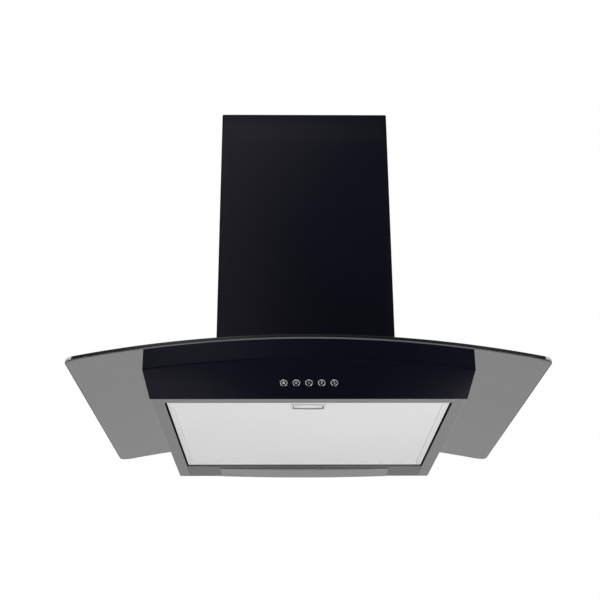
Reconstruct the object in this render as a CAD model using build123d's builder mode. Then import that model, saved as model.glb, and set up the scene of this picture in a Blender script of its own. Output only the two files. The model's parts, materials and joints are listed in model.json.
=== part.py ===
from build123d import *
from math import acos, asin, copysign, cos, degrees, hypot, sin, sqrt
import os

# Wall-mounted kitchen range hood with a curved glass canopy.
#
# Millimetres. +Z is up, the wall is the plane y = 0 and the hood stands out from it towards -y.
# The origin is the centre of the four wall screws, on the wall. Names that end in _z are heights
# in this frame, and names that end in _y are places along it. All other heights are measured from
# the hood's underside, and all other distances to the front or rear from the wall.

# ---------------------------------------------------------------- driving dimensions

seat_gap = 0.05            # between pieces that are clamped or stacked together
seam_gap = 0.3             # visible seams between the strips of the underside
move_gap = 0.4             # between a moving piece and what it moves past
run_gap = 0.05             # radial clearance of a pin or shaft in its bore

# screws and nuts, as shares of the screw's radius
head_r_share = 2.0
head_height_share = 1.2
low_head_share = 0.5
nut_r_share = 1.9
nut_height_share = 1.6

# wall fixing
hang_height = 210.0        # wall screw centre above the underside
wall_screw_span_z = 160.0
wall_screw_hole_r = 3.5

# glass canopy
glass_width = 600.0
glass_depth = 499.0
glass_thickness = 4.0
glass_radius = 1460.0      # of the underside
glass_height = 68.2        # of the underside on the centre line
glass_wall_gap = 1.0
glass_front_corner = 13.0
glass_rear_corner = 17.0
glass_edge_chamfer = 0.8
seal_thickness = 2.0
seal_width = 9.0

# body below the glass
body_half_width = 203.0
side_slope_run = 6.0       # from the fold in to the underside's edge
front_slope_run = 36.0
underside_rear = 50.0
body_rear = 2.0
fold_drop = 28.4           # from the glass down to the fold that runs round the body
sheet = 1.0
fascia_sheet = 1.2

# underside frame round the filter
side_strip = 16.5
front_strip = 18.0
middle_strip = 11.0        # between the filter and the lamp cover
lip_height = 12.0

# grease filter
filter_side_gap = 2.0
filter_end_gap = 1.5
filter_thickness = 9.0
filter_recess = 2.5
filter_border = 7.5
filter_sheet = 0.6
lug_width = 24.0
lug_offset = 120.0
lug_reach = 6.5
lug_height = 3.0
lug_sheet = 1.2
mesh_layers = 5
mesh_sheet = 0.4

# filter latch
latch_half_width = 20.0
latch_length = 18.0
latch_bow = 1.8            # of the recess's front and rear edges
latch_setback = 19.0       # from the opening's front edge to the recess
latch_floor = 0.9
latch_rim = 2.0
latch_travel = 5.0
bolt_half_width = 8.0
bolt_height = 3.2
bolt_sheet = 1.4
bolt_reach = 2.5           # past the front lip
grip_side_gap = 1.5
grip_thickness = 6.5
grip_setback = 0.3         # from the filter's lower face up to the grip

# lamp and its cover
lamp_half_width = 130.0
lamp_setback = 3.0         # from the underside's rear edge
lamp_length = 48.0         # from front to rear
lamp_rim = 4.0
lamp_rim_sheet = 0.9
lamp_bow = 2.2             # of the cover, from its ends to its middle
lamp_skirt = 6.0
lamp_wall = 1.5
bulb_r = 16.0
bulb_clearance = 4.5       # above the cover's skirt
bulb_headroom = 2.0
bulb_length = 74.0
bulb_neck = 10.0
bulb_neck_r = 5.8
bulb_swell = 20.0          # height of the handles of the bulb's curve
bulb_cap_r = 6.8
bulb_cap_length = 20.0
holder_r = 12.5
holder_length = 27.0

# controls
button_count = 5
button_pitch = 15.6
button_r = 4.5
button_stand = 2.4
button_round = 0.75
button_dish_r = 3.0
button_dish = 0.6
button_travel = 2.0
button_up_face = 22.3      # from the fascia's bottom edge, along its slope
button_flange = 1.1
button_stem_r = 2.0
switch_depth = 18.0
switch_height = 18.0
stem_reach = 6.0
bracket_tab = 9.0
strap_width = 12.0
stud_r = 1.5
stud_length = 5.0

# air box above the glass
box_side_gap = 26.0        # to the chimney's outer faces
box_front_gap = 20.0
box_top = 330.0
box_sheet = 1.2
box_flange_width = 16.0
mount_flange = 20.0
intake_margin = 5.0        # from the box's walls to the cut-out in the glass
intake_corner = 14.0
intake_rear = 30.0
canopy_screw_r = 2.0
canopy_screw_rows = 3
sleeve_wall = 1.2

# blower
scroll_step = 9.0
scroll_half_width = 52.0
scroll_wall = 2.5
fan_margin = 26.0          # from the scroll to the box's front and rear faces
scroll_lift = 22.8         # from the glass up to the scroll
inlet_lip = 13.0           # of the scroll, over the impeller's rim
impeller_clearance = 13.0
impeller_side_gap = 4.5
blade_depth = 12.0
blade_sheet = 1.2
blade_sag = 1.6
blade_sweep = 6.5
blade_count = 36
impeller_disc = 3.0
hub_r = 10.0
hub_length = 14.0
shaft_r = 4.0
motor_r = 42.0
motor_start = 10.0
motor_length = 66.0
motor_flange = 8.0
motor_bell = 10.5
motor_boss_r = 8.0
motor_boss = 2.0
motor_vents = 8
motor_vent_length = 14.0
motor_vent_width = 2.0
bush_height = 4.0
bush_r = 6.0
bracket_ring = 9.0
bracket_sheet = 1.6
bracket_reach = 14.0       # of its arms, past the inlet's edge
bracket_arms = 3
bracket_arm_angle = 90.0
capacitor_r = 15.0
capacitor_length = 58.0
capacitor_lift = 75.0      # above the glass

# outlet with its non-return flaps
duct_r = 60.0
duct_wall = 1.5
duct_height = 44.0
duct_flange = 12.0
duct_screw_r = 2.0
duct_screw_count = 4
duct_screw_angle = 45.0
flap_stop = 3.0
flap_sheet = 0.8
flap_pin_r = 1.5
knuckle_wall = 1.1
knuckle_length = 20.0
knuckle_spread = 23.0      # from the duct's axis to the middle of a pair of knuckles
flap_height = 16.0

# terminal box
terminal_width = 62.0
terminal_length = 66.0
terminal_height = 34.0
terminal_wall = 2.0
terminal_inset = 4.8
gland_r = 8.0
gland_nut_r = 10.8
gland_bore_r = 4.0
gland_length = 18.0

# chimney
chimney_half_width = 130.0
chimney_depth = 275.0
chimney_top = 529.0
chimney_sheet = 0.8
chimney_gap = 0.7
chimney_wall_gap = 1.5
extension_bottom = 112.0
ear_height = 94.0
ear_width = 18.0
ear_drop = 12.0
ear_distances = (60.0, 200.0)
bracket_drop = 34.0
bracket_strip = 24.0
bracket_arm = 42.0
bracket_span = 120.0
bracket_hole_r = 3.0
cover_screw_r = 2.0

# ---------------------------------------------------------------- worked out from the above

underside_z = -hang_height
arch_axis_z = underside_z + glass_height - glass_radius
glass_front_y = -(glass_wall_gap + glass_depth)
fascia_front = -glass_front_y
plate_radius = glass_radius - seal_thickness
glass_top_radius = glass_radius + glass_thickness
flange_radius = glass_top_radius + seal_thickness
above_canopy = 2 * (glass_height + glass_thickness)
pierce = 2 * glass_thickness

underside_half_width = body_half_width - side_slope_run
underside_front = fascia_front - front_slope_run
lamp_rear = underside_rear + lamp_setback
lamp_front = lamp_rear + lamp_length
opening_half_width = underside_half_width - side_strip
opening_front = underside_front - front_strip
opening_rear = lamp_front + middle_strip

box_half_width = chimney_half_width - box_side_gap
box_depth = chimney_depth - box_front_gap
wall_screw_span_x = 2 * box_half_width + mount_flange
scroll_r = (box_depth - 2 * fan_margin - 3 * scroll_step) / 2
impeller_r = scroll_r - impeller_clearance
inlet_r = impeller_r - inlet_lip
bracket_arm_r = inlet_r + bracket_reach
fan_height = glass_height + glass_thickness + scroll_lift + scroll_r + scroll_step


def arch_z(radius, x=0.0):
    """Height of an arc about the arch's axis, at the width x."""
    return arch_axis_z + sqrt(radius**2 - x**2)


def arch_plane(x, y, radius):
    """Plane square to the arch on the radial line that meets the glass at x, at the given radius."""
    tilt = asin(x / glass_radius)
    return Plane(
        origin=(radius * sin(tilt), y, arch_axis_z + radius * cos(tilt)),
        x_dir=(cos(tilt), 0, -sin(tilt)),
        z_dir=(sin(tilt), 0, cos(tilt)),
    )


def arch_band(radius, thickness, half_width):
    """Section of a sheet that follows the arch, drawn in a front-view sketch."""
    low_end = arch_z(radius, half_width)
    high_end = arch_z(radius + thickness, half_width)
    with BuildLine() as outline:
        low = ThreePointArc((-half_width, low_end), (0, arch_z(radius)), (half_width, low_end))
        high = ThreePointArc(
            (-half_width, high_end), (0, arch_z(radius + thickness)), (half_width, high_end)
        )
        Line(low @ 0, high @ 0)
        Line(low @ 1, high @ 1)
    make_face(outline.edges())


def bend(upright, foot, height, inset=0.0):
    """A wall that stands at upright and slopes to foot at the underside, moved inwards by inset.

    Returns where it then stands, the height of its fold, and its foot.
    """
    run = foot - upright
    inwards = copysign(inset, run)
    new_foot = foot + inwards * hypot(run, height) / height
    new_upright = upright + inwards
    return new_upright, height * (new_foot - new_upright) / run, new_foot


def wall_section(upright, foot, height, tops, thickness):
    """Closed section of a folded wall, drawn in the open sketch. tops are its outer and inner tops."""
    out_x, out_fold, out_foot = bend(upright, foot, height)
    in_x, in_fold, in_foot = bend(upright, foot, height, thickness)
    with BuildLine() as outline:
        Polyline(
            (out_foot, underside_z),
            (out_x, underside_z + out_fold),
            (out_x, tops[0]),
            (in_x, tops[1]),
            (in_x, underside_z + in_fold),
            (in_foot, underside_z),
            close=True,
        )
    make_face(outline.edges())


def fold_at(x):
    """Height of the fascia's fold above the underside, which runs parallel to the glass."""
    return arch_z(glass_radius, x) - fold_drop - underside_z


side_fold = fold_at(body_half_width)


def front_outline(inset, radius):
    """The body seen from the front, inside its side walls and below an arc, in the open sketch."""
    upright, fold, foot = bend(body_half_width, underside_half_width, side_fold, inset)
    shoulder = arch_z(radius, upright)
    with BuildLine() as outline:
        Polyline(
            (-upright, shoulder),
            (-upright, underside_z + fold),
            (-foot, underside_z),
            (foot, underside_z),
            (upright, underside_z + fold),
            (upright, shoulder),
        )
        ThreePointArc((-upright, shoulder), (0, arch_z(radius)), (upright, shoulder))
    make_face(outline.edges())


def side_outline(front_inset, rear_inset):
    """The body seen from the side, between its front and rear walls, in the open sketch."""
    front, front_fold, front_foot = bend(-fascia_front, -underside_front, side_fold, front_inset)
    rear, rear_fold, rear_foot = bend(-body_rear, -underside_rear, side_fold, rear_inset)
    with BuildLine() as outline:
        Polyline(
            (front, arch_z(glass_radius)),
            (front, underside_z + front_fold),
            (front_foot, underside_z),
            (rear_foot, underside_z),
            (rear, underside_z + rear_fold),
            (rear, arch_z(glass_radius)),
            close=True,
        )
    make_face(outline.edges())


def plan(height_z, x_low, x_high, y_low, y_high):
    """Centre and size of a rectangle in plan, with the level plane that it is drawn on."""
    centre = ((x_low + x_high) / 2, (y_low + y_high) / 2)
    return Plane.XY.offset(height_z), centre, (x_high - x_low, y_high - y_low)


# ---------------------------------------------------------------- glass canopy and its seals

intake_half_width = box_half_width - intake_margin
intake_front = box_depth - intake_margin
canopy_screw_x = box_half_width + box_flange_width / 2
canopy_screw_step = (intake_front - intake_rear) / (canopy_screw_rows - 1)
canopy_screw_ys = [-(intake_rear + canopy_screw_step * row) for row in range(canopy_screw_rows)]
canopy_screw_places = [(side * canopy_screw_x, y) for y in canopy_screw_ys for side in (-1, 1)]
sleeve_r = canopy_screw_r + seat_gap + sleeve_wall


def intake_cut():
    """The air intake through the glass and the plates that clamp it, in plan."""
    with Locations((0, -(intake_front + intake_rear) / 2)):
        RectangleRounded(2 * intake_half_width, intake_front - intake_rear, intake_corner)


# The blank is drawn wider than the pane, and the plan cuts it to size.
with BuildPart() as canopy_glass:
    with BuildSketch(Plane.XZ.offset(glass_wall_gap)):
        arch_band(glass_radius, glass_thickness, glass_width)
    extrude(amount=glass_depth)
    with BuildSketch(Plane.XY.offset(underside_z)) as canopy_plan:
        with Locations((0, glass_front_y + glass_depth / 2)):
            Rectangle(glass_width, glass_depth)
        fillet(canopy_plan.vertices().group_by(Axis.Y)[0], glass_front_corner)
        fillet(canopy_plan.vertices().group_by(Axis.Y)[-1], glass_rear_corner)
    extrude(amount=above_canopy, mode=Mode.INTERSECT)
    chamfer(canopy_glass.faces().filter_by(GeomType.CYLINDER).sort_by(SortBy.AREA)[-2:].edges(),
            glass_edge_chamfer)
    with BuildSketch(Plane.XY.offset(underside_z)):
        intake_cut()
    extrude(amount=above_canopy, mode=Mode.SUBTRACT)
    for x, y in canopy_screw_places:
        with BuildSketch(arch_plane(x, y, glass_radius)):
            Circle(sleeve_r + seat_gap)
        extrude(amount=pierce, both=True, mode=Mode.SUBTRACT)

# A seal runs round the body's top, and a second one round the intake.
with BuildPart() as canopy_seal:
    with BuildSketch(Plane.XZ.offset(body_rear)):
        arch_band(plate_radius + seat_gap, seal_thickness - 2 * seat_gap, body_half_width)
    extrude(amount=fascia_front - body_rear)
    with BuildSketch(Plane.XY.offset(underside_z)):
        seal_mid_y = -(fascia_front + body_rear) / 2
        seal_span = fascia_front - body_rear
        with Locations((0, seal_mid_y)):
            Rectangle(2 * (body_half_width - seal_width), seal_span - 2 * seal_width)
        with Locations((0, -(intake_front + intake_rear) / 2)):
            Rectangle(2 * (intake_half_width + 2 * seal_width),
                      intake_front - intake_rear + 2 * seal_width, mode=Mode.SUBTRACT)
    extrude(amount=above_canopy, mode=Mode.SUBTRACT)
    with BuildSketch(Plane.XY.offset(underside_z)):
        intake_cut()
    extrude(amount=above_canopy, mode=Mode.SUBTRACT)
    for x, y in canopy_screw_places:
        with BuildSketch(arch_plane(x, y, glass_radius)):
            Circle(canopy_screw_r + seat_gap)
        extrude(amount=pierce, both=True, mode=Mode.SUBTRACT)

with BuildPart() as box_seal:
    with BuildSketch(Plane.XZ.offset(glass_wall_gap)):
        arch_band(glass_top_radius + seat_gap, seal_thickness - 2 * seat_gap,
                  box_half_width + box_flange_width)
    extrude(amount=box_depth + box_flange_width - glass_wall_gap)
    with BuildSketch(Plane.XY.offset(underside_z)):
        intake_cut()
    extrude(amount=above_canopy, mode=Mode.SUBTRACT)
    for x, y in canopy_screw_places:
        with BuildSketch(arch_plane(x, y, glass_radius)):
            Circle(canopy_screw_r + seat_gap)
        extrude(amount=pierce, both=True, mode=Mode.SUBTRACT)

# Six screws clamp the box, the glass and the body's top plate together, on sleeves in the glass.
screw_head_r = head_r_share * canopy_screw_r
screw_head = head_height_share * canopy_screw_r
nut_height = nut_height_share * canopy_screw_r
nut_r = nut_r_share * canopy_screw_r
flange_top_radius = flange_radius + box_sheet
plate_under_radius = plate_radius - sheet

with BuildPart() as canopy_screws:
    for x, y in canopy_screw_places:
        with BuildSketch(arch_plane(x, y, flange_top_radius + seat_gap)):
            Circle(screw_head_r)
        extrude(amount=screw_head)
        with BuildSketch(arch_plane(x, y, flange_top_radius + seat_gap)):
            Circle(canopy_screw_r)
        extrude(amount=-(flange_top_radius - plate_under_radius + nut_height + canopy_screw_r))

with BuildPart() as canopy_nuts:
    for x, y in canopy_screw_places:
        with BuildSketch(arch_plane(x, y, plate_under_radius - seat_gap)):
            RegularPolygon(nut_r, 6)
            Circle(canopy_screw_r + seat_gap, mode=Mode.SUBTRACT)
        extrude(amount=-nut_height)

with BuildPart() as canopy_sleeves:
    for x, y in canopy_screw_places:
        with BuildSketch(arch_plane(x, y, glass_radius + seat_gap)):
            Circle(sleeve_r)
            Circle(canopy_screw_r + seat_gap, mode=Mode.SUBTRACT)
        extrude(amount=glass_thickness - 2 * seat_gap)

# ---------------------------------------------------------------- body below the glass

# The five buttons stand on the slope, on a plane through its middle section.
slope_inner_foot = bend(-fascia_front, -underside_front, fold_at(0), fascia_sheet)[2]
slope_length = hypot(front_slope_run, fold_at(0))
slope_up = (0, -front_slope_run / slope_length, fold_at(0) / slope_length)
slope_out = (0, -fold_at(0) / slope_length, -front_slope_run / slope_length)
face_point_y = -underside_front + slope_up[1] * button_up_face
face_point_z = underside_z + slope_up[2] * button_up_face
button_flange_r = button_r + button_flange
button_xs = [button_pitch * (place - (button_count - 1) / 2) for place in range(button_count)]
stud_x = button_xs[-1] + button_flange_r + 2 * bracket_tab


def face_plane(x, depth=0.0):
    """Plane on the fascia's slope at the buttons' line, sunk by depth, normal pointing outwards."""
    return Plane(
        origin=(x, face_point_y - depth * slope_out[1], face_point_z - depth * slope_out[2]),
        x_dir=(1, 0, 0),
        z_dir=slope_out,
    )


# The fascia stands upright below the glass and folds back to the straight front edge of the
# underside. The fold follows the arch, so the slope is ruled between an arc and a straight line.
# The sheet is what lies behind its outer face but not behind its inner one.
with BuildPart() as front_fascia:
    with BuildSketch(Plane.XZ.offset(underside_front)):
        with Locations((0, underside_z + glass_height / 2)):
            Rectangle(2 * body_half_width, glass_height)
    extrude(amount=-(slope_inner_foot + underside_front))
    for inset, mode in ((0, Mode.ADD), (fascia_sheet, Mode.SUBTRACT)):
        upright, fold, foot = bend(-fascia_front, -underside_front, fold_at(0), inset)
        side_z = underside_z + fold + side_fold - fold_at(0)
        with BuildSketch(Plane.XZ.offset(-upright)):
            with BuildLine():
                ThreePointArc((-body_half_width, side_z), (0, underside_z + fold),
                              (body_half_width, side_z))
                Polyline((-body_half_width, side_z),
                         (-body_half_width, underside_z + glass_height),
                         (body_half_width, underside_z + glass_height),
                         (body_half_width, side_z))
            make_face()
        with BuildSketch(Plane.XZ.offset(-foot)):
            with Locations((0, underside_z + glass_height / 2)):
                Rectangle(2 * body_half_width, glass_height)
        loft(ruled=True, mode=mode)
    with BuildSketch(Plane.XZ.offset(underside_rear)):
        front_outline(0, plate_radius)
    extrude(amount=fascia_front, mode=Mode.INTERSECT)
    for x in button_xs:
        with BuildSketch(face_plane(x)):
            Circle(button_r + move_gap)
        extrude(amount=3 * fascia_sheet, both=True, mode=Mode.SUBTRACT)
    for side in (-1, 1):
        with BuildSketch(face_plane(side * stud_x, fascia_sheet / 2)):
            Circle(stud_r)
        extrude(amount=-(stud_length + fascia_sheet / 2))

wall_top_radius = plate_under_radius - seat_gap
walls_inner, _, walls_foot = bend(body_half_width, underside_half_width, side_fold, sheet)


def side_wall(side):
    """One side wall, trimmed to the fascia and the rear wall. side is -1 for left, 1 for right."""
    tops = (arch_z(wall_top_radius, body_half_width), arch_z(wall_top_radius, walls_inner))
    with BuildPart() as wall:
        with BuildSketch(Plane.XZ.offset(body_rear)):
            wall_section(side * body_half_width, side * underside_half_width, side_fold,
                         tops, sheet)
        extrude(amount=fascia_front - body_rear)
        with BuildSketch(Plane.YZ.offset(-body_half_width)):
            side_outline(fascia_sheet + seam_gap, sheet + seat_gap)
        extrude(amount=2 * body_half_width, mode=Mode.INTERSECT)
    return wall


side_wall_left = side_wall(-1)
side_wall_right = side_wall(1)

with BuildPart() as rear_wall:
    with BuildSketch(Plane.YZ.offset(-body_half_width)):
        wall_top = arch_z(wall_top_radius)
        wall_section(-body_rear, -underside_rear, side_fold, (wall_top, wall_top), sheet)
    extrude(amount=2 * body_half_width)
    with BuildSketch(Plane.XZ):
        front_outline(0, wall_top_radius)
    extrude(amount=fascia_front, mode=Mode.INTERSECT)

with BuildPart() as top_plate:
    with BuildSketch(Plane.XZ.offset(body_rear)):
        arch_band(plate_under_radius, sheet, body_half_width)
    extrude(amount=fascia_front - fascia_sheet - seat_gap - body_rear)
    with BuildSketch(Plane.XY.offset(underside_z)):
        intake_cut()
    extrude(amount=above_canopy, mode=Mode.SUBTRACT)
    for x, y in canopy_screw_places:
        with BuildSketch(arch_plane(x, y, plate_radius)):
            Circle(canopy_screw_r + seat_gap)
        extrude(amount=3 * sheet, both=True, mode=Mode.SUBTRACT)

# ---------------------------------------------------------------- underside frame

frame_side = walls_foot - seat_gap
frame_front = -slope_inner_foot - seat_gap
frame_rear = -bend(-body_rear, -underside_rear, side_fold, sheet)[2] + seat_gap
lip_inset = opening_half_width + sheet

bolt_low = filter_recess + bolt_height
bolt_top = bolt_low + bolt_sheet


def side_rail(side):
    """One side strip, mitred at the front, with a lip that stands up beside the filter."""
    with BuildPart() as rail:
        with BuildSketch(Plane.XY.offset(underside_z)):
            with BuildLine():
                Polyline(
                    (side * opening_half_width, -opening_front),
                    (side * frame_side, -frame_front),
                    (side * frame_side, -frame_rear),
                    (side * opening_half_width, -frame_rear),
                    close=True,
                )
            make_face()
        extrude(amount=sheet)
        plane, centre, size = plan(underside_z, side * opening_half_width, side * lip_inset,
                                   -opening_front + seam_gap, -frame_rear)
        with BuildSketch(plane):
            with Locations(centre):
                Rectangle(abs(size[0]), size[1])
        extrude(amount=lip_height)
    return rail


side_rail_left = side_rail(-1)
side_rail_right = side_rail(1)

with BuildPart() as front_lip:
    with BuildSketch(Plane.XY.offset(underside_z)):
        with BuildLine():
            Polyline(
                (-opening_half_width + seam_gap, -opening_front),
                (-frame_side + seam_gap, -frame_front),
                (frame_side - seam_gap, -frame_front),
                (opening_half_width - seam_gap, -opening_front),
                close=True,
            )
        make_face()
    extrude(amount=sheet)
    plane, centre, size = plan(underside_z, -opening_half_width + seam_gap,
                               opening_half_width - seam_gap,
                               -opening_front - sheet, -opening_front)
    with BuildSketch(plane):
        with Locations(centre):
            Rectangle(*size)
    extrude(amount=lip_height)
    # The filter's bolt enters this slot.
    with BuildSketch(Plane.XZ.offset(opening_front)):
        with Locations((0, underside_z + (bolt_low + bolt_top) / 2)):
            Rectangle(2 * (bolt_half_width + 2 * move_gap), bolt_sheet + 4 * move_gap)
    extrude(amount=2 * sheet, both=True, mode=Mode.SUBTRACT)

window_half_width = lamp_half_width - lamp_rim
window_front = lamp_front - lamp_rim
window_rear = lamp_rear + lamp_rim
rail_half_width = opening_half_width - seam_gap

with BuildPart() as rear_rail:
    plane, centre, size = plan(underside_z, -rail_half_width, rail_half_width,
                               -opening_rear, -frame_rear)
    with BuildSketch(plane):
        with Locations(centre):
            Rectangle(*size)
    extrude(amount=sheet)
    plane, centre, size = plan(underside_z, -rail_half_width, rail_half_width,
                               -opening_rear, -opening_rear + sheet)
    with BuildSketch(plane):
        with Locations(centre):
            Rectangle(*size)
    extrude(amount=lip_height)
    plane, centre, size = plan(underside_z, -window_half_width, window_half_width,
                               -window_front, -window_rear)
    with BuildSketch(plane):
        with Locations(centre):
            Rectangle(*size)
    extrude(amount=sheet, mode=Mode.SUBTRACT)
    # The filter's rear lugs rest in these notches of the lip.
    with BuildSketch(Plane.XZ.offset(opening_rear)):
        notch_low = filter_recess + lug_height - move_gap
        with Locations(*[(side * lug_offset, underside_z + notch_low + lip_height / 2)
                         for side in (-1, 1)]):
            Rectangle(lug_width + 4 * move_gap, lip_height)
    extrude(amount=2 * sheet, both=True, mode=Mode.SUBTRACT)

# ---------------------------------------------------------------- grease filter

filter_z = underside_z + filter_recess
filter_half_width = opening_half_width - filter_side_gap
filter_front_y = -opening_front + filter_end_gap
filter_rear_y = -opening_rear - filter_end_gap - sheet
filter_mid_y = (filter_front_y + filter_rear_y) / 2
filter_length = filter_rear_y - filter_front_y
inner_half_width = filter_half_width - sheet - seat_gap
inner_length = filter_length - 2 * (sheet + seat_gap)
pan_front_y = -opening_front + latch_setback
pan_mid_y = pan_front_y + latch_length / 2
pan_half_width = latch_half_width + latch_rim
pan_length = latch_length + 2 * latch_rim
bolt_gap_x = bolt_half_width + move_gap
bolt_slot_z = filter_z + bolt_height + bolt_sheet / 2


def bowed_outline(half_width, front, rear, bow):
    """A straight-sided outline in plan with its front and rear edges bowed outwards."""
    with BuildLine() as outline:
        ThreePointArc((-half_width, front + bow), (0, front), (half_width, front + bow))
        Line((half_width, front + bow), (half_width, rear - bow))
        ThreePointArc((half_width, rear - bow), (0, rear), (-half_width, rear - bow))
        Line((-half_width, rear - bow), (-half_width, front + bow))
    make_face(outline.edges())


def bolt_way():
    """Opening for the sliding bolt, seen from the front."""
    with Locations((0, bolt_slot_z)):
        Rectangle(2 * bolt_gap_x, bolt_sheet + 2 * move_gap)


with BuildPart() as filter_frame:
    with BuildSketch(Plane.XY.offset(filter_z)):
        with Locations((0, filter_mid_y)):
            RectangleRounded(2 * filter_half_width, filter_length, 2 * sheet)
            Rectangle(2 * (filter_half_width - filter_border), filter_length - 2 * filter_border,
                      mode=Mode.SUBTRACT)
    extrude(amount=filter_thickness)
    with BuildSketch(Plane.XY.offset(filter_z + sheet)):
        with Locations((0, filter_mid_y)):
            Rectangle(2 * (filter_half_width - sheet), filter_length - 2 * sheet)
    extrude(amount=filter_thickness - 2 * sheet, mode=Mode.SUBTRACT)
    with BuildSketch(Plane.XZ.offset(-filter_front_y)):
        bolt_way()
    extrude(amount=2 * sheet, both=True, mode=Mode.SUBTRACT)


def layer_outline():
    """Outline in plan of a layer that fills the frame, cut out round the latch pan."""
    with Locations((0, filter_mid_y)):
        Rectangle(2 * inner_half_width, inner_length)
    with Locations((0, pan_mid_y)):
        RectangleRounded(2 * (pan_half_width + seat_gap), pan_length + 2 * seat_gap,
                         latch_rim + seat_gap, mode=Mode.SUBTRACT)


face_low = sheet + seat_gap
mesh_low = face_low + filter_sheet + seat_gap
mesh_top = filter_thickness - mesh_low
back_low = mesh_top + seat_gap
layer_step = (mesh_top - mesh_low - mesh_sheet) / (mesh_layers - 1)

with BuildPart() as filter_face:
    with BuildSketch(Plane.XY.offset(filter_z + face_low)):
        layer_outline()
    extrude(amount=filter_sheet)

with BuildPart() as filter_mesh:
    for layer in range(mesh_layers):
        with BuildSketch(Plane.XY.offset(filter_z + mesh_low + layer * layer_step)):
            layer_outline()
        extrude(amount=mesh_sheet)
    with BuildSketch(Plane.XZ.offset(-pan_mid_y)):
        bolt_way()
    extrude(amount=pan_mid_y - filter_front_y, mode=Mode.SUBTRACT)

with BuildPart() as filter_back:
    with BuildSketch(Plane.XY.offset(filter_z + back_low)):
        with Locations((0, filter_mid_y)):
            Rectangle(2 * inner_half_width, inner_length)
    extrude(amount=filter_sheet)

with BuildPart() as filter_lugs:
    for side in (-1, 1):
        with BuildSketch(Plane.YZ.offset(side * lug_offset - lug_width / 2)):
            with BuildLine():
                leg_y = filter_rear_y + seat_gap
                tip_y = -opening_rear + lug_reach
                leg_low = filter_z + sheet
                tongue_low = filter_z + lug_height
                tongue_top = tongue_low + lug_sheet
                Polyline(
                    (leg_y, leg_low),
                    (leg_y + lug_sheet, leg_low),
                    (leg_y + lug_sheet, tongue_low),
                    (tip_y, tongue_low),
                    (tip_y, tongue_top),
                    (leg_y, tongue_top),
                    close=True,
                )
            make_face()
        extrude(amount=lug_width)

latch_depth = mesh_top - latch_floor

with BuildPart() as latch_pan:
    with BuildSketch(Plane.XY.offset(filter_z)):
        with Locations((0, pan_mid_y)):
            RectangleRounded(2 * pan_half_width, pan_length, latch_rim)
    extrude(amount=mesh_top)
    with BuildSketch(Plane.XY.offset(filter_z)):
        bowed_outline(latch_half_width, pan_front_y, pan_front_y + latch_length, latch_bow)
    extrude(amount=latch_depth, mode=Mode.SUBTRACT)
    with BuildSketch(Plane.XZ.offset(-pan_mid_y)):
        bolt_way()
    extrude(amount=pan_length, mode=Mode.SUBTRACT)

bolt_tip_y = -opening_front - sheet - bolt_reach
grip_rear_y = pan_front_y + latch_length - latch_travel - 2 * move_gap
grip_front_y = grip_rear_y - grip_thickness
grip_half_width = latch_half_width - grip_side_gap
bolt_length = grip_rear_y - latch_bow - bolt_tip_y

with BuildPart() as latch_slider:
    with BuildSketch(Plane.XY.offset(filter_z + bolt_height)):
        with Locations((0, bolt_tip_y + bolt_length / 2)):
            Rectangle(2 * bolt_half_width, bolt_length)
    extrude(amount=bolt_sheet)
    chamfer(latch_slider.edges().filter_by(Axis.X).group_by(Axis.Y)[0].sort_by(Axis.Z)[0],
            bolt_sheet / 2)
    with BuildSketch(Plane.XY.offset(filter_z + grip_setback)):
        bowed_outline(grip_half_width, grip_front_y, grip_rear_y, latch_bow)
    extrude(amount=latch_depth - grip_setback - move_gap)

# ---------------------------------------------------------------- lamp

lamp_mid_y = -(lamp_front + lamp_rear) / 2
cover_top_z = underside_z - seam_gap
skirt_gap = 2 * move_gap
tray_half_width = window_half_width + lamp_wall
tray_length = window_front - window_rear + 2 * lamp_wall
tray_height = lamp_skirt + bulb_clearance + 2 * bulb_r + bulb_headroom + lamp_wall
bulb_axis_z = underside_z + lamp_skirt + bulb_clearance + bulb_r


def bowed_section(half_width, top_z, ends_z, middle_z):
    """Section along the lamp cover: level on top, bowed below."""
    with BuildLine() as outline:
        Polyline((-half_width, ends_z), (-half_width, top_z), (half_width, top_z),
                 (half_width, ends_z))
        ThreePointArc((half_width, ends_z), (0, middle_z), (-half_width, ends_z))
    make_face(outline.edges())


skirt_half_width = window_half_width - skirt_gap
skirt_length = window_front - window_rear - 2 * skirt_gap
bowl_length = skirt_length - 2 * lamp_wall
cover_ends_z = cover_top_z - lamp_rim_sheet
cover_middle_z = cover_ends_z - lamp_bow

with BuildPart() as lamp_cover:
    with BuildSketch(Plane.XZ.offset(lamp_rear)):
        bowed_section(lamp_half_width, cover_top_z, cover_ends_z, cover_middle_z)
    extrude(amount=lamp_length)
    fillet(lamp_cover.edges().filter_by(Axis.Z), lamp_rim / 2)
    with BuildSketch(Plane.XY.offset(cover_top_z)):
        with Locations((0, lamp_mid_y)):
            RectangleRounded(2 * skirt_half_width, skirt_length, lamp_rim / 2)
    extrude(amount=lamp_skirt + seam_gap)
    with BuildSketch(Plane.XZ.offset(-lamp_mid_y - bowl_length / 2)):
        bowed_section(skirt_half_width - lamp_wall, underside_z + 2 * lamp_skirt,
                      cover_top_z - lamp_rim_sheet / 2, cover_middle_z + lamp_wall)
    extrude(amount=bowl_length, mode=Mode.SUBTRACT)

with BuildPart() as lamp_tray:
    with BuildSketch(Plane.XY.offset(underside_z + sheet + seat_gap)):
        with Locations((0, lamp_mid_y)):
            Rectangle(2 * tray_half_width, tray_length)
    extrude(amount=tray_height)
    with BuildSketch(Plane.XY.offset(underside_z + sheet + seat_gap)):
        with Locations((0, lamp_mid_y)):
            Rectangle(2 * window_half_width, tray_length - 2 * lamp_wall)
    extrude(amount=tray_height - lamp_wall, mode=Mode.SUBTRACT)


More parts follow.
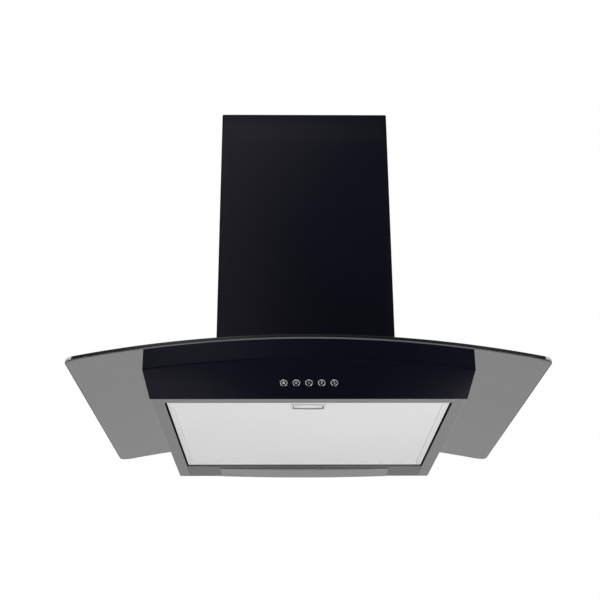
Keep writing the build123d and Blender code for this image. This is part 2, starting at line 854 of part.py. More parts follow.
def lamp_axis_plane(side, x):
    """Plane across the bulbs' axis at |x|, its normal pointing from the holder to the middle."""
    return Plane(origin=(side * x, lamp_mid_y, bulb_axis_z), x_dir=(0, 1, 0), z_dir=(-side, 0, 0))


holder_start = window_half_width - seat_gap
cap_start = holder_start - lamp_wall - seat_gap
bulb_start = cap_start - bulb_cap_length

with BuildPart() as lamp_holders:
    for side in (-1, 1):
        with BuildSketch(lamp_axis_plane(side, holder_start)):
            Circle(holder_r)
        extrude(amount=holder_length)
        with BuildSketch(lamp_axis_plane(side, cap_start + seat_gap)):
            Circle(bulb_cap_r + seat_gap)
        extrude(amount=holder_length, mode=Mode.SUBTRACT)

with BuildPart() as lamp_caps:
    for side in (-1, 1):
        with BuildSketch(lamp_axis_plane(side, cap_start)):
            Circle(bulb_cap_r)
        extrude(amount=bulb_cap_length)

with BuildPart() as lamp_bulbs:
    for side in (-1, 1):
        with BuildSketch(Plane(origin=(side * (bulb_start - seat_gap), lamp_mid_y, bulb_axis_z),
                               x_dir=(-side, 0, 0), z_dir=(0, -1, 0))):
            with BuildLine():
                neck = Line((0, 0), (0, bulb_neck_r))
                shoulder = Line(neck @ 1, (bulb_neck, bulb_neck_r))
                swell = Bezier(shoulder @ 1, (bulb_length / 2, bulb_swell),
                               (bulb_length, bulb_swell), (bulb_length, 0))
                Line(swell @ 1, neck @ 0)
            make_face()
        revolve(axis=Axis((0, lamp_mid_y, bulb_axis_z), (-side, 0, 0)))

# ---------------------------------------------------------------- controls

switch_half_width = button_xs[-1] + button_flange_r + 3 * seat_gap + bracket_tab / 2
switch_top = fascia_sheet + 3 * seat_gap
pocket_depth = button_travel + sheet + 2 * move_gap
stem_length = switch_top + pocket_depth + stem_reach


def push_button(x):
    """A round cap with a rounded rim, the flange that keeps it in, and its stem."""
    with BuildPart() as button:
        with BuildSketch(face_plane(x, switch_top + move_gap)):
            Circle(button_r)
        extrude(amount=switch_top + move_gap + button_stand)
        cap_face = button.faces().filter_by(GeomType.PLANE).sort_by(Axis.Z)[0]
        fillet(cap_face.edges(), button_round)
        with BuildSketch(face_plane(x, button_dish - button_stand)):
            Circle(button_dish_r)
        extrude(amount=button_stand, mode=Mode.SUBTRACT)
        with BuildSketch(face_plane(x, switch_top + move_gap)):
            Circle(button_flange_r)
        extrude(amount=-sheet)
        with BuildSketch(face_plane(x, switch_top + move_gap)):
            Circle(button_stem_r)
        extrude(amount=-stem_length)
    return button


push_buttons = [push_button(x) for x in button_xs]

with BuildPart() as switch_bank:
    with BuildSketch(face_plane(0, switch_top)):
        Rectangle(2 * switch_half_width, switch_height)
    extrude(amount=-switch_depth)
    for x in button_xs:
        with BuildSketch(face_plane(x, switch_top)):
            Circle(button_flange_r + move_gap)
        extrude(amount=-pocket_depth - move_gap, mode=Mode.SUBTRACT)
        with BuildSketch(face_plane(x, switch_top)):
            Circle(button_stem_r + run_gap)
        extrude(amount=-(stem_length + button_travel + 2 * move_gap), mode=Mode.SUBTRACT)

# A strap with two tabs holds the switch bank against the fascia.
strap_outer = stud_x + bracket_tab / 2
strap_back = switch_top + switch_depth + seat_gap
strap_plane = Plane(
    origin=(0, face_point_y + slope_up[1] * strap_width / 2,
            face_point_z + slope_up[2] * strap_width / 2),
    x_dir=(1, 0, 0), z_dir=slope_up,
)
strap_leg = switch_half_width + seat_gap

with BuildPart() as switch_strap:
    with BuildSketch(strap_plane):
        with BuildLine():
            Polyline(
                (-strap_outer, switch_top), (-strap_leg, switch_top),
                (-strap_leg, strap_back), (strap_leg, strap_back),
                (strap_leg, switch_top), (strap_outer, switch_top),
                (strap_outer, switch_top + sheet), (strap_leg + sheet, switch_top + sheet),
                (strap_leg + sheet, strap_back + sheet), (-strap_leg - sheet, strap_back + sheet),
                (-strap_leg - sheet, switch_top + sheet), (-strap_outer, switch_top + sheet),
                close=True,
            )
        make_face()
    extrude(amount=-strap_width)
    for side in (-1, 1):
        with BuildSketch(face_plane(side * stud_x, switch_top)):
            Circle(stud_r + seat_gap)
        extrude(amount=2 * sheet, both=True, mode=Mode.SUBTRACT)

with BuildPart() as switch_nuts:
    for side in (-1, 1):
        with BuildSketch(face_plane(side * stud_x, switch_top + sheet + seat_gap)):
            RegularPolygon(nut_r_share * stud_r, 6)
            Circle(stud_r + seat_gap, mode=Mode.SUBTRACT)
        extrude(amount=-nut_height_share * stud_r)

# ---------------------------------------------------------------- air box

box_top_z = underside_z + box_top
fan_y = -(box_depth - fan_margin - scroll_r)
fan_z = underside_z + fan_height
outlet_reach = scroll_r + 3 * scroll_step
duct_y = fan_y + outlet_reach / 2
duct_screw_circle = duct_r + duct_flange / 2
ear_z = underside_z + ear_height
cover_inner = chimney_half_width - chimney_sheet
ear_end = cover_inner - seat_gap
mount_flange_low = underside_z + ear_height + ear_drop


def above_arch(radius):
    """Region above an arc about the arch's axis, as wide as the box, seen from the front."""
    half = box_half_width
    with BuildLine() as outline:
        ThreePointArc((-half, arch_z(radius, half)), (0, arch_z(radius)),
                      (half, arch_z(radius, half)))
        Polyline((-half, arch_z(radius, half)), (-half, box_top_z), (half, box_top_z),
                 (half, arch_z(radius, half)))
    make_face(outline.edges())


with BuildPart() as air_box:
    with BuildSketch(Plane.XZ):
        above_arch(flange_radius + box_sheet + seat_gap)
    extrude(amount=box_depth)
    with BuildSketch(Plane.XY.offset(underside_z)):
        with Locations((0, -box_depth / 2)):
            Rectangle(2 * (box_half_width - box_sheet), box_depth - 2 * box_sheet)
    extrude(amount=box_top - box_sheet, mode=Mode.SUBTRACT)
    # outlet
    with BuildSketch(Plane.XY.offset(box_top_z)):
        with Locations((0, duct_y)):
            Circle(duct_r - duct_wall)
            with PolarLocations(duct_screw_circle, duct_screw_count, duct_screw_angle):
                Circle(duct_screw_r + seat_gap)
    extrude(amount=2 * box_sheet, both=True, mode=Mode.SUBTRACT)
    # wall flanges with their screw holes
    with BuildSketch(Plane.XZ):
        for side in (-1, 1):
            with Locations((side * (box_half_width + mount_flange / 2),
                            (mount_flange_low + box_top_z) / 2)):
                Rectangle(mount_flange, box_top_z - mount_flange_low)
        with GridLocations(wall_screw_span_x, wall_screw_span_z, 2, 2):
            Circle(wall_screw_hole_r, mode=Mode.SUBTRACT)
    extrude(amount=box_sheet)

# The air box stands on a flange that lies on the glass, along the arch.
with BuildPart() as box_flange:
    with BuildSketch(Plane.XZ):
        arch_band(flange_radius, box_sheet, box_half_width + box_flange_width)
    extrude(amount=box_depth + box_flange_width)
    with BuildSketch(Plane.XY.offset(underside_z)):
        intake_cut()
    extrude(amount=above_canopy, mode=Mode.SUBTRACT)
    for x, y in canopy_screw_places:
        with BuildSketch(arch_plane(x, y, flange_radius)):
            Circle(canopy_screw_r + seat_gap)
        extrude(amount=3 * box_sheet, both=True, mode=Mode.SUBTRACT)

ear_start = box_half_width + seat_gap

# Folded ears on the air box's sides, which the chimney cover is screwed to.
with BuildPart() as cover_ears:
    for side in (-1, 1):
        for y in [-distance for distance in ear_distances]:
            plane, centre, size = plan(ear_z, side * ear_start, side * ear_end,
                                       y - ear_width / 2, y + ear_width / 2)
            with BuildSketch(plane):
                with Locations(centre):
                    Rectangle(abs(size[0]), size[1])
            extrude(amount=box_sheet)
            for inner_x in (side * ear_start, side * (ear_end - box_sheet)):
                plane, centre, size = plan(ear_z, inner_x, inner_x + side * box_sheet,
                                           y - ear_width / 2, y + ear_width / 2)
                with BuildSketch(plane):
                    with Locations(centre):
                        Rectangle(abs(size[0]), size[1])
                extrude(amount=-ear_drop)
            with BuildSketch(Plane.YZ.offset(side * ear_end)):
                with Locations((y, ear_z - ear_drop / 2)):
                    Circle(cover_screw_r + seat_gap)
            extrude(amount=2 * box_sheet, both=True, mode=Mode.SUBTRACT)

# ---------------------------------------------------------------- blower

scroll_top_z = box_top_z - box_sheet - seat_gap


def scroll_outline(inset, top_z):
    """Spiral of three quarter arcs, each a step wider than the last, that ends in the outlet."""
    start = degrees(acos(inset / (scroll_r - inset)))
    left = fan_y + inset
    right = fan_y + outlet_reach - inset
    with BuildLine() as outline:
        first = CenterArc((fan_y, fan_z), scroll_r - inset, start, 180 - start)
        CenterArc((fan_y + scroll_step, fan_z), scroll_r + scroll_step - inset, 180, 90)
        last = CenterArc((fan_y + scroll_step, fan_z + scroll_step),
                         scroll_r + 2 * scroll_step - inset, 270, 90)
        Line(last @ 1, (right, top_z))
        Line((right, top_z), (left, top_z))
        Line((left, top_z), first @ 0)
    make_face(outline.edges())


def fan_plane(x):
    """Plane across the fan's axis at x, normal to the right, origin on the axis."""
    return Plane(origin=(x, fan_y, fan_z), x_dir=(0, 1, 0), z_dir=(1, 0, 0))


def scroll_half(side):
    """One half of the spiral casing, with its round inlet. side is -1 for left, 1 for right."""
    outer_x = side * scroll_half_width
    with BuildPart() as half:
        with BuildSketch(Plane.YZ.offset(side * seat_gap)):
            scroll_outline(0, scroll_top_z)
        extrude(amount=side * (scroll_half_width - seat_gap))
        with BuildSketch(Plane.YZ):
            scroll_outline(scroll_wall, scroll_top_z + scroll_wall)
        extrude(amount=side * (scroll_half_width - scroll_wall), mode=Mode.SUBTRACT)
        with BuildSketch(fan_plane(outer_x)):
            Circle(inlet_r + scroll_wall)
        extrude(amount=side * scroll_wall)
        with BuildSketch(fan_plane(outer_x)):
            Circle(inlet_r)
        extrude(amount=2 * scroll_wall, both=True, mode=Mode.SUBTRACT)
        if side > 0:
            with BuildSketch(fan_plane(outer_x)):
                with PolarLocations(bracket_arm_r, bracket_arms, bracket_arm_angle):
                    Circle(canopy_screw_r)
            extrude(amount=2 * scroll_wall, both=True, mode=Mode.SUBTRACT)
    return half


scroll_left = scroll_half(-1)
scroll_right = scroll_half(1)

impeller_half_width = scroll_half_width - scroll_wall - impeller_side_gap
blade_inner = impeller_r - blade_depth
blade_middle = (blade_inner + impeller_r) / 2

with BuildSketch() as blade:
    with BuildLine():
        leading = ThreePointArc((blade_inner, 0), (blade_middle, blade_sag),
                                (impeller_r - blade_sheet, blade_sweep))
        trailing = ThreePointArc((blade_inner, blade_sheet),
                                 (blade_middle, blade_sag + blade_sheet),
                                 (impeller_r - 2 * blade_sheet, blade_sweep + blade_sheet))
        Line(leading @ 0, trailing @ 0)
        Line(leading @ 1, trailing @ 1)
    make_face()

with BuildPart() as impeller:
    with BuildSketch(fan_plane(-impeller_half_width)):
        with PolarLocations(0, blade_count):
            add(blade.sketch)
    extrude(amount=2 * impeller_half_width)
    with BuildSketch(fan_plane(-impeller_disc / 2)):
        Circle(impeller_r)
    extrude(amount=impeller_disc)
    for x in (-impeller_half_width, impeller_half_width - impeller_disc / 2):
        with BuildSketch(fan_plane(x)):
            Circle(impeller_r)
            Circle(blade_inner + blade_sheet, mode=Mode.SUBTRACT)
        extrude(amount=impeller_disc / 2)
    with BuildSketch(fan_plane(-hub_length / 2)):
        Circle(hub_r)
    extrude(amount=hub_length)
    with BuildSketch(fan_plane(-hub_length)):
        Circle(shaft_r + seat_gap / 2)
    extrude(amount=2 * hub_length, mode=Mode.SUBTRACT)

motor_end = motor_start + motor_length
motor_flange_r = motor_r + motor_flange
bracket_x = scroll_half_width + scroll_wall + bush_height
shaft_end = motor_end - motor_boss - sheet

with BuildPart() as motor_shaft:
    with BuildSketch(fan_plane(-hub_length)):
        Circle(shaft_r)
    extrude(amount=shaft_end + hub_length)
    chamfer(motor_shaft.edges().filter_by(GeomType.CIRCLE), shaft_r / 8)

with BuildPart() as motor:
    with BuildSketch(Plane(origin=(0, fan_y, fan_z), x_dir=(1, 0, 0), z_dir=(0, -1, 0))):
        with BuildLine():
            motor_flange_x = bracket_x + bracket_sheet + seat_gap
            Polyline(
                (motor_start, 0), (motor_start, motor_boss_r),
                (motor_start + motor_boss, motor_boss_r), (motor_start + motor_bell, motor_r),
                (motor_flange_x, motor_r), (motor_flange_x, motor_flange_r),
                (motor_flange_x + 2 * sheet, motor_flange_r), (motor_flange_x + 2 * sheet, motor_r),
                (motor_end - motor_bell / 2, motor_r), (motor_end, motor_r - motor_bell),
                (motor_end, 0), close=True,
            )
        make_face()
    revolve(axis=Axis((0, fan_y, fan_z), (1, 0, 0)))
    with BuildSketch(fan_plane(motor_start)):
        Circle(shaft_r + run_gap)
    extrude(amount=shaft_end + move_gap - motor_start, mode=Mode.SUBTRACT)
    with BuildSketch(fan_plane(motor_end)):
        with PolarLocations(motor_r / 2, motor_vents):
            SlotOverall(motor_vent_length, motor_vent_width)
    extrude(amount=-motor_bell / 2, mode=Mode.SUBTRACT)

with BuildPart() as motor_bracket:
    with BuildSketch(fan_plane(bracket_x)):
        Circle(motor_r + bracket_ring)
        with PolarLocations((bracket_arm_r + motor_r) / 2, bracket_arms, bracket_arm_angle):
            Rectangle(bracket_arm_r - motor_r + 2 * bush_r, 2 * bush_r)
        Circle(motor_r + seat_gap, mode=Mode.SUBTRACT)
        with PolarLocations(bracket_arm_r, bracket_arms, bracket_arm_angle):
            Circle(canopy_screw_r + seat_gap, mode=Mode.SUBTRACT)
    extrude(amount=bracket_sheet)

with BuildPart() as motor_bushes:
    with BuildSketch(fan_plane(scroll_half_width + seat_gap)):
        with PolarLocations(bracket_arm_r, bracket_arms, bracket_arm_angle):
            Circle(bush_r)
            Circle(canopy_screw_r + seat_gap, mode=Mode.SUBTRACT)
    extrude(amount=bracket_x - scroll_half_width - 2 * seat_gap)

with BuildPart() as motor_screws:
    with BuildSketch(fan_plane(bracket_x + bracket_sheet + seat_gap)):
        with PolarLocations(bracket_arm_r, bracket_arms, bracket_arm_angle):
            Circle(screw_head_r)
    extrude(amount=screw_head)
    with BuildSketch(fan_plane(bracket_x + bracket_sheet + seat_gap)):
        with PolarLocations(bracket_arm_r, bracket_arms, bracket_arm_angle):
            Circle(canopy_screw_r - seat_gap)
    extrude(amount=-(bracket_x + bracket_sheet - scroll_half_width + scroll_wall / 2))

capacitor_x = box_half_width - box_sheet - capacitor_r - seam_gap
capacitor_y = -(box_depth - box_sheet - capacitor_r - seam_gap)
capacitor_low_z = arch_z(flange_radius, capacitor_x) + capacitor_lift

with BuildPart() as capacitor:
    with BuildSketch(Plane.XY.offset(capacitor_low_z)):
        with Locations((capacitor_x, capacitor_y)):
            Circle(capacitor_r)
    extrude(amount=capacitor_length)
    fillet(capacitor.edges().filter_by(GeomType.CIRCLE), capacitor_r / 8)

# ---------------------------------------------------------------- outlet and non-return flaps

duct_base_z = box_top_z + seat_gap
pin_z = duct_base_z + flap_height
duct_inner_r = duct_r - duct_wall
flap_r = duct_inner_r - move_gap
knuckle_r = flap_pin_r + run_gap + knuckle_wall
stop_top_z = pin_z - flap_sheet / 2 - move_gap

with BuildPart() as duct_collar:
    with BuildSketch(Plane.XY.offset(duct_base_z)):
        with Locations((0, duct_y)):
            Circle(duct_r + duct_flange)
            with PolarLocations(duct_screw_circle, duct_screw_count, duct_screw_angle):
                Circle(duct_screw_r + seat_gap, mode=Mode.SUBTRACT)
    extrude(amount=2 * sheet)
    with BuildSketch(Plane.XY.offset(duct_base_z)):
        with Locations((0, duct_y)):
            Circle(duct_r)
    extrude(amount=duct_height)
    with BuildSketch(Plane.XY.offset(duct_base_z)):
        with Locations((0, duct_y)):
            Circle(duct_inner_r)
    extrude(amount=duct_height, mode=Mode.SUBTRACT)
    with BuildSketch(Plane.XY.offset(stop_top_z)):
        with Locations((0, duct_y)):
            Circle(duct_inner_r + duct_wall / 2)
            Circle(duct_inner_r - flap_stop, mode=Mode.SUBTRACT)
    extrude(amount=-duct_wall)
    with BuildSketch(Plane.YZ.offset(-duct_r)):
        with Locations((duct_y, pin_z)):
            Circle(flap_pin_r + seat_gap)
    extrude(amount=2 * duct_r, mode=Mode.SUBTRACT)

with BuildPart() as flap_pin:
    with BuildSketch(Plane.YZ.offset(-duct_r)):
        with Locations((duct_y, pin_z)):
            Circle(flap_pin_r)
    extrude(amount=2 * duct_r)


def flap(side):
    """A half-round flap with two knuckles on the pin. side is -1 for the front, 1 for the rear."""
    starts = [pair * knuckle_spread - (1 + side) * knuckle_length / 2 for pair in (-1, 1)]
    with BuildPart() as leaf:
        with BuildSketch(Plane.XY.offset(pin_z - flap_sheet / 2)):
            with Locations((0, duct_y)):
                Circle(flap_r)
            with Locations((0, duct_y + side * (flap_r / 2 + flap_pin_r + run_gap))):
                Rectangle(3 * flap_r, flap_r, mode=Mode.INTERSECT)
            others = [start + side * knuckle_length for start in starts]
            with Locations(*[(start + knuckle_length / 2, duct_y) for start in others]):
                Rectangle(knuckle_length + 4 * move_gap, 2 * (knuckle_r + move_gap),
                          mode=Mode.SUBTRACT)
        extrude(amount=flap_sheet)
        for start in starts:
            with BuildSketch(Plane.YZ.offset(start + move_gap)):
                with Locations((duct_y, pin_z)):
                    Circle(knuckle_r)
            extrude(amount=knuckle_length - 2 * move_gap)
        with BuildSketch(Plane.YZ.offset(-duct_r)):
            with Locations((duct_y, pin_z)):
                Circle(flap_pin_r + run_gap)
        extrude(amount=2 * duct_r, mode=Mode.SUBTRACT)
    return leaf


flap_front = flap(-1)
flap_rear = flap(1)

with BuildPart() as duct_screws:
    with BuildSketch(Plane.XY.offset(duct_base_z + 2 * sheet + seat_gap)):
        with Locations((0, duct_y)):
            with PolarLocations(duct_screw_circle, duct_screw_count, duct_screw_angle):
                Circle(head_r_share * duct_screw_r)
    extrude(amount=head_height_share * duct_screw_r)
    with BuildSketch(Plane.XY.offset(duct_base_z + 2 * sheet + seat_gap)):
        with Locations((0, duct_y)):
            with PolarLocations(duct_screw_circle, duct_screw_count, duct_screw_angle):
                Circle(duct_screw_r)
    extrude(amount=-(2 * sheet + 4 * box_sheet))

# ---------------------------------------------------------------- terminal box

terminal_z = box_top_z + seat_gap
terminal_x = -box_half_width + terminal_width / 2 + terminal_inset
terminal_y = -(box_depth - terminal_length / 2 - terminal_inset)
lid_z = terminal_z + terminal_height + seat_gap
lid_top_z = lid_z + terminal_wall
gland_foot_z = lid_top_z - 3 * terminal_wall

with BuildPart() as terminal_box:
    with BuildSketch(Plane.XY.offset(terminal_z)):
        with Locations((terminal_x, terminal_y)):
            RectangleRounded(terminal_width, terminal_length, 2 * terminal_wall)
    extrude(amount=terminal_height)
    with BuildSketch(Plane.XY.offset(terminal_z + terminal_wall)):
        with Locations((terminal_x, terminal_y)):
            RectangleRounded(terminal_width - 2 * terminal_wall,
                             terminal_length - 2 * terminal_wall, terminal_wall)
    extrude(amount=terminal_height, mode=Mode.SUBTRACT)

with BuildPart() as terminal_lid:
    with BuildSketch(Plane.XY.offset(lid_z)):
        with Locations((terminal_x, terminal_y)):
            RectangleRounded(terminal_width, terminal_length, 2 * terminal_wall)
    extrude(amount=terminal_wall)
    fillet(terminal_lid.edges().group_by(Axis.Z)[-1], terminal_wall / 3)
    with BuildSketch(Plane.XY.offset(lid_z)):
        with Locations((terminal_x, terminal_y)):
            Circle(gland_r + seat_gap)
    extrude(amount=terminal_wall, mode=Mode.SUBTRACT)

with BuildPart() as cable_gland:
    with BuildSketch(Plane.XY.offset(gland_foot_z)):
        with Locations((terminal_x, terminal_y)):
            Circle(gland_r)
    extrude(amount=gland_length)
    with BuildSketch(Plane.XY.offset(lid_top_z + seat_gap)):
        with Locations((terminal_x, terminal_y)):
            RegularPolygon(gland_nut_r, 6)
    extrude(amount=gland_r)
    with BuildSketch(Plane.XY.offset(gland_foot_z)):
        with Locations((terminal_x, terminal_y)):
            Circle(gland_bore_r)
    extrude(amount=gland_length, mode=Mode.SUBTRACT)

# ---------------------------------------------------------------- chimney


def chimney_section(half_width, front):
    """Three-sided section of a chimney cover in plan, open towards the wall."""
    wall_side = -chimney_wall_gap
    with Locations((0, (wall_side - front) / 2)):
        Rectangle(2 * half_width, front + wall_side)
    with Locations((0, (wall_side - front + chimney_sheet) / 2 + chimney_sheet)):
        Rectangle(2 * (half_width - chimney_sheet), front + wall_side + chimney_sheet,
                  mode=Mode.SUBTRACT)


chimney_top_z = underside_z + chimney_top
extension_half_width = chimney_half_width - chimney_sheet - chimney_gap
extension_front = chimney_depth - chimney_sheet - chimney_gap
shell_foot_radius = glass_top_radius + seam_gap

with BuildPart() as chimney_cover:
    with BuildSketch(Plane.XY.offset(underside_z + glass_height / 2)):
        chimney_section(chimney_half_width, chimney_depth)
    extrude(amount=chimney_top - glass_height / 2)
    with BuildSketch(Plane.XZ):
        with Locations((0, arch_axis_z)):
            Circle(shell_foot_radius)
    extrude(amount=2 * chimney_depth, mode=Mode.SUBTRACT)
    for side in (-1, 1):
        for y in [-distance for distance in ear_distances]:
            with BuildSketch(Plane.YZ.offset(side * chimney_half_width)):
                with Locations((y, ear_z - ear_drop / 2)):
                    Circle(cover_screw_r + seat_gap)
            extrude(amount=2 * chimney_sheet, both=True, mode=Mode.SUBTRACT)

with BuildPart() as chimney_extension:
    with BuildSketch(Plane.XY.offset(underside_z + extension_bottom)):
        chimney_section(extension_half_width, extension_front)
    extrude(amount=chimney_top - extension_bottom)

with BuildPart() as cover_screws:
    for side in (-1, 1):
        for y in [-distance for distance in ear_distances]:
            with BuildSketch(Plane.YZ.offset(side * (chimney_half_width + seat_gap))):
                with Locations((y, ear_z - ear_drop / 2)):
                    Circle(head_r_share * cover_screw_r)
            extrude(amount=side * low_head_share * cover_screw_r)
            with BuildSketch(Plane.YZ.offset(side * (chimney_half_width + seat_gap))):
                with Locations((y, ear_z - ear_drop / 2)):
                    Circle(cover_screw_r)
            extrude(amount=-side * 3 * cover_screw_r)

bracket_z = chimney_top_z - bracket_drop
bracket_half_width = extension_half_width - chimney_sheet - move_gap

with BuildPart() as chimney_bracket:
    with BuildSketch(Plane.XY.offset(bracket_z)):
        with Locations((0, -bracket_arm / 2)):
            Rectangle(2 * bracket_half_width, bracket_arm)
        with Locations((0, -bracket_arm / 2 - bracket_sheet)):
            Rectangle(2 * (bracket_half_width - bracket_sheet), bracket_arm, mode=Mode.SUBTRACT)
    extrude(amount=bracket_strip)
    with BuildSketch(Plane.XZ):
        with Locations(*[(side * bracket_span / 2, bracket_z + bracket_strip / 2)
                         for side in (-1, 1)]):
            Circle(bracket_hole_r)
    extrude(amount=2 * bracket_sheet, both=True, mode=Mode.SUBTRACT)

# ---------------------------------------------------------------- pieces

pieces = {
    "canopy_glass": canopy_glass,
    "canopy_seal": canopy_seal,
    "box_seal": box_seal,
    "canopy_screws": canopy_screws,
    "canopy_nuts": canopy_nuts,
    "canopy_sleeves": canopy_sleeves,
    "front_fascia": front_fascia,
    "side_wall_left": side_wall_left,
    "side_wall_right": side_wall_right,
    "rear_wall": rear_wall,
    "top_plate": top_plate,
    "side_rail_left": side_rail_left,
    "side_rail_right": side_rail_right,
    "front_lip": front_lip,
    "rear_rail": rear_rail,
    "filter_frame": filter_frame,
    "filter_face": filter_face,
    "filter_mesh": filter_mesh,
    "filter_back": filter_back,
    "filter_lugs": filter_lugs,
    "latch_pan": latch_pan,
    "latch_slider": latch_slider,
    "lamp_cover": lamp_cover,
    "lamp_tray": lamp_tray,
    "lamp_holders": lamp_holders,
    "lamp_caps": lamp_caps,
    "lamp_bulbs": lamp_bulbs,
    "switch_bank": switch_bank,
    "switch_strap": switch_strap,
    "switch_nuts": switch_nuts,
    "air_box": air_box,
    "box_flange": box_flange,
    "cover_ears": cover_ears,
    "scroll_left": scroll_left,
    "scroll_right": scroll_right,
    "impeller": impeller,
    "motor_shaft": motor_shaft,
    "motor": motor,
    "motor_bracket": motor_bracket,
    "motor_bushes": motor_bushes,
    "motor_screws": motor_screws,
    "capacitor": capacitor,
    "duct_collar": duct_collar,
    "duct_screws": duct_screws,
    "flap_pin": flap_pin,
    "flap_front": flap_front,
    "flap_rear": flap_rear,
    "terminal_box": terminal_box,
    "terminal_lid": terminal_lid,
    "cable_gland": cable_gland,
    "chimney_cover": chimney_cover,
    "chimney_extension": chimney_extension,
    "cover_screws": cover_screws,
    "chimney_bracket": chimney_bracket,
}
for place, button in enumerate(push_buttons):
    pieces[f"push_button_{place + 1}"] = button

os.makedirs("parts", exist_ok=True)
for name, piece in pieces.items():
    piece.part.label = name
    export_step(piece.part, f"parts/{name}.step")
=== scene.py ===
"""The looks of the curved glass range hood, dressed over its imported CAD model.

Lengths are metres in the CAD frame: +X right, +Y into the wall, +Z up.
"""

import json
from math import cos, pi, radians, sin

import bmesh
import bpy
import numpy as np
from mathutils import Matrix, Vector


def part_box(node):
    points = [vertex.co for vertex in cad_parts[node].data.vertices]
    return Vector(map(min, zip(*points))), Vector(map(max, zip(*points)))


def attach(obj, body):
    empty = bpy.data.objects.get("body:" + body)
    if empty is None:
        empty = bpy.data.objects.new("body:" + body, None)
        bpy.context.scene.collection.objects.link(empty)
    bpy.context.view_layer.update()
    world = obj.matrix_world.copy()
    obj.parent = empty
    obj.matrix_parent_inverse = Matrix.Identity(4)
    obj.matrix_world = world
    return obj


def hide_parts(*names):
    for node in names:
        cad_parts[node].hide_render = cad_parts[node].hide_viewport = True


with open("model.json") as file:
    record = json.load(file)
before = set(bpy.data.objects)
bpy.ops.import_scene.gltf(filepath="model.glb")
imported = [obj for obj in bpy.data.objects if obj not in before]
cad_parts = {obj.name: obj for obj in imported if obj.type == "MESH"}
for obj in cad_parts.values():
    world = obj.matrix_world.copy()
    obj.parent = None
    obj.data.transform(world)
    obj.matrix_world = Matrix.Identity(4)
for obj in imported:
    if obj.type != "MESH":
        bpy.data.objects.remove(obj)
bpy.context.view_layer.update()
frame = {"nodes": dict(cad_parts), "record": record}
nodes = frame["nodes"]

# ---------------------------------------------------------------- node trees

MIX_SHARE, MIX_FIRST, MIX_SECOND = 0, 6, 7      # a Mix node's sockets, for colours
MIX_RESULT = 2


class Graph:
    """A node tree with short ways to add nodes, set their inputs and join them."""

    def __init__(self, tree):
        self.tree = tree

    def node(self, kind, settings=None, **inputs):
        """Adds a node: settings are its properties, and inputs its sockets by name."""
        made = self.tree.nodes.new("ShaderNode" + kind)
        for name, value in (settings or {}).items():
            setattr(made, name, value)
        for name, value in inputs.items():
            self.put(made, name.replace("_", " "), value)
        return made

    def put(self, node, key, value):
        """Links an output to the socket of that name or number, or sets its value."""
        socket = node.inputs[key]
        if isinstance(value, bpy.types.NodeSocket):
            self.tree.links.new(value, socket)
        else:
            socket.default_value = value

    def maths(self, operation, *values, kind="Math", **settings):
        """Adds a maths node with a value in each of its inputs, and gives its result."""
        made = self.node(kind, {"operation": operation, **settings})
        for place, value in enumerate(values):
            self.put(made, place, value)
        return made.outputs[0]

    def mix(self, share, first, second):
        """Mixes two colours: the first where share is 0, and the second where it is 1."""
        made = self.node("Mix", {"data_type": "RGBA"})
        self.put(made, MIX_SHARE, share)
        self.put(made, MIX_FIRST, first)
        self.put(made, MIX_SECOND, second)
        return made.outputs[MIX_RESULT]


def new_group(name, inputs, outputs):
    """Starts a shader node group with sockets of the kinds given.

    Returns its inner graph, and the group's inputs as they are seen from inside.
    """
    tree = bpy.data.node_groups.new(name, "ShaderNodeTree")
    for in_out, sockets in (("INPUT", inputs), ("OUTPUT", outputs)):
        for socket, kind in sockets.items():
            tree.interface.new_socket(socket, in_out=in_out, socket_type="NodeSocket" + kind)
    return Graph(tree), tree.nodes.new("NodeGroupInput").outputs


def finish_group(graph, **outputs):
    """Joins the results to the group's output sockets, and gives the group."""
    end = graph.tree.nodes.new("NodeGroupOutput")
    for name, value in outputs.items():
        graph.put(end, name.replace("_", " "), value)
    return graph.tree


# ---------------------------------------------------------------- camera, light and floor

PHOTO_PIXELS = 600
SENSOR_WIDTH = 36.0
FOCAL_PIXELS = 1073.56   # this and the next four are fitted to the photograph's edges
CAMERA_PLACE = (-0.02632, -1.73911, -0.60503)
CAMERA_YAW = 0.012459
CAMERA_PITCH = 0.392127
CAMERA_ROLL = -0.004118
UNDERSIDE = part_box("front_lip")[0].z
FLOOR_DROP = 1.65        # below the hood's underside
FLOOR_HALF_WIDTH = 9.0
WHITE = (1.0, 1.0, 1.0, 1.0)
AMBIENT = 0.62           # strength of the surroundings for soft light, where 1 is white
SOFT_BOXES = {           # place, the point it faces, width, height and watts
    "key light": ((-2.2, -2.4, 1.6), (0.0, -0.2, 0.0), 1.6, 1.6, 70.0),
    "fill light": ((2.4, -2.6, 0.6), (0.0, -0.2, 0.0), 1.8, 1.8, 40.0),
    "low light": ((0.3, -1.9, -1.6), (0.0, -0.3, -0.2), 1.6, 1.2, 26.0)}
GLOSS_PANELS = {         # the same, for panels that only gloss shows
    "left panel": ((-0.34, -2.4, 1.3), (-0.34, 0.0, 1.3), 0.36, 2.1, 30.0),
    "upper left panel": ((-0.65, -2.4, 2.0), (-0.65, 0.0, 2.0), 1.4, 1.2, 70.0),
    "upper panel": ((0.3, -2.4, 2.1), (0.3, 0.0, 2.1), 0.9, 1.0, 12.0),
    "right panel": ((0.66, -2.4, 0.9), (0.66, 0.0, 0.9), 0.4, 1.4, 9.0),
    "low left panel": ((-0.28, -0.7, -1.1), (-0.28, -0.7, 0.0), 0.3, 0.7, 7.5),
    "low right panel": ((0.36, -0.7, -1.1), (0.36, -0.7, 0.0), 0.3, 0.7, 4.0),
    "button panel": ((0.42, -0.3, -1.1), (0.0, -0.48, -0.2), 0.4, 0.4, 9.0)}


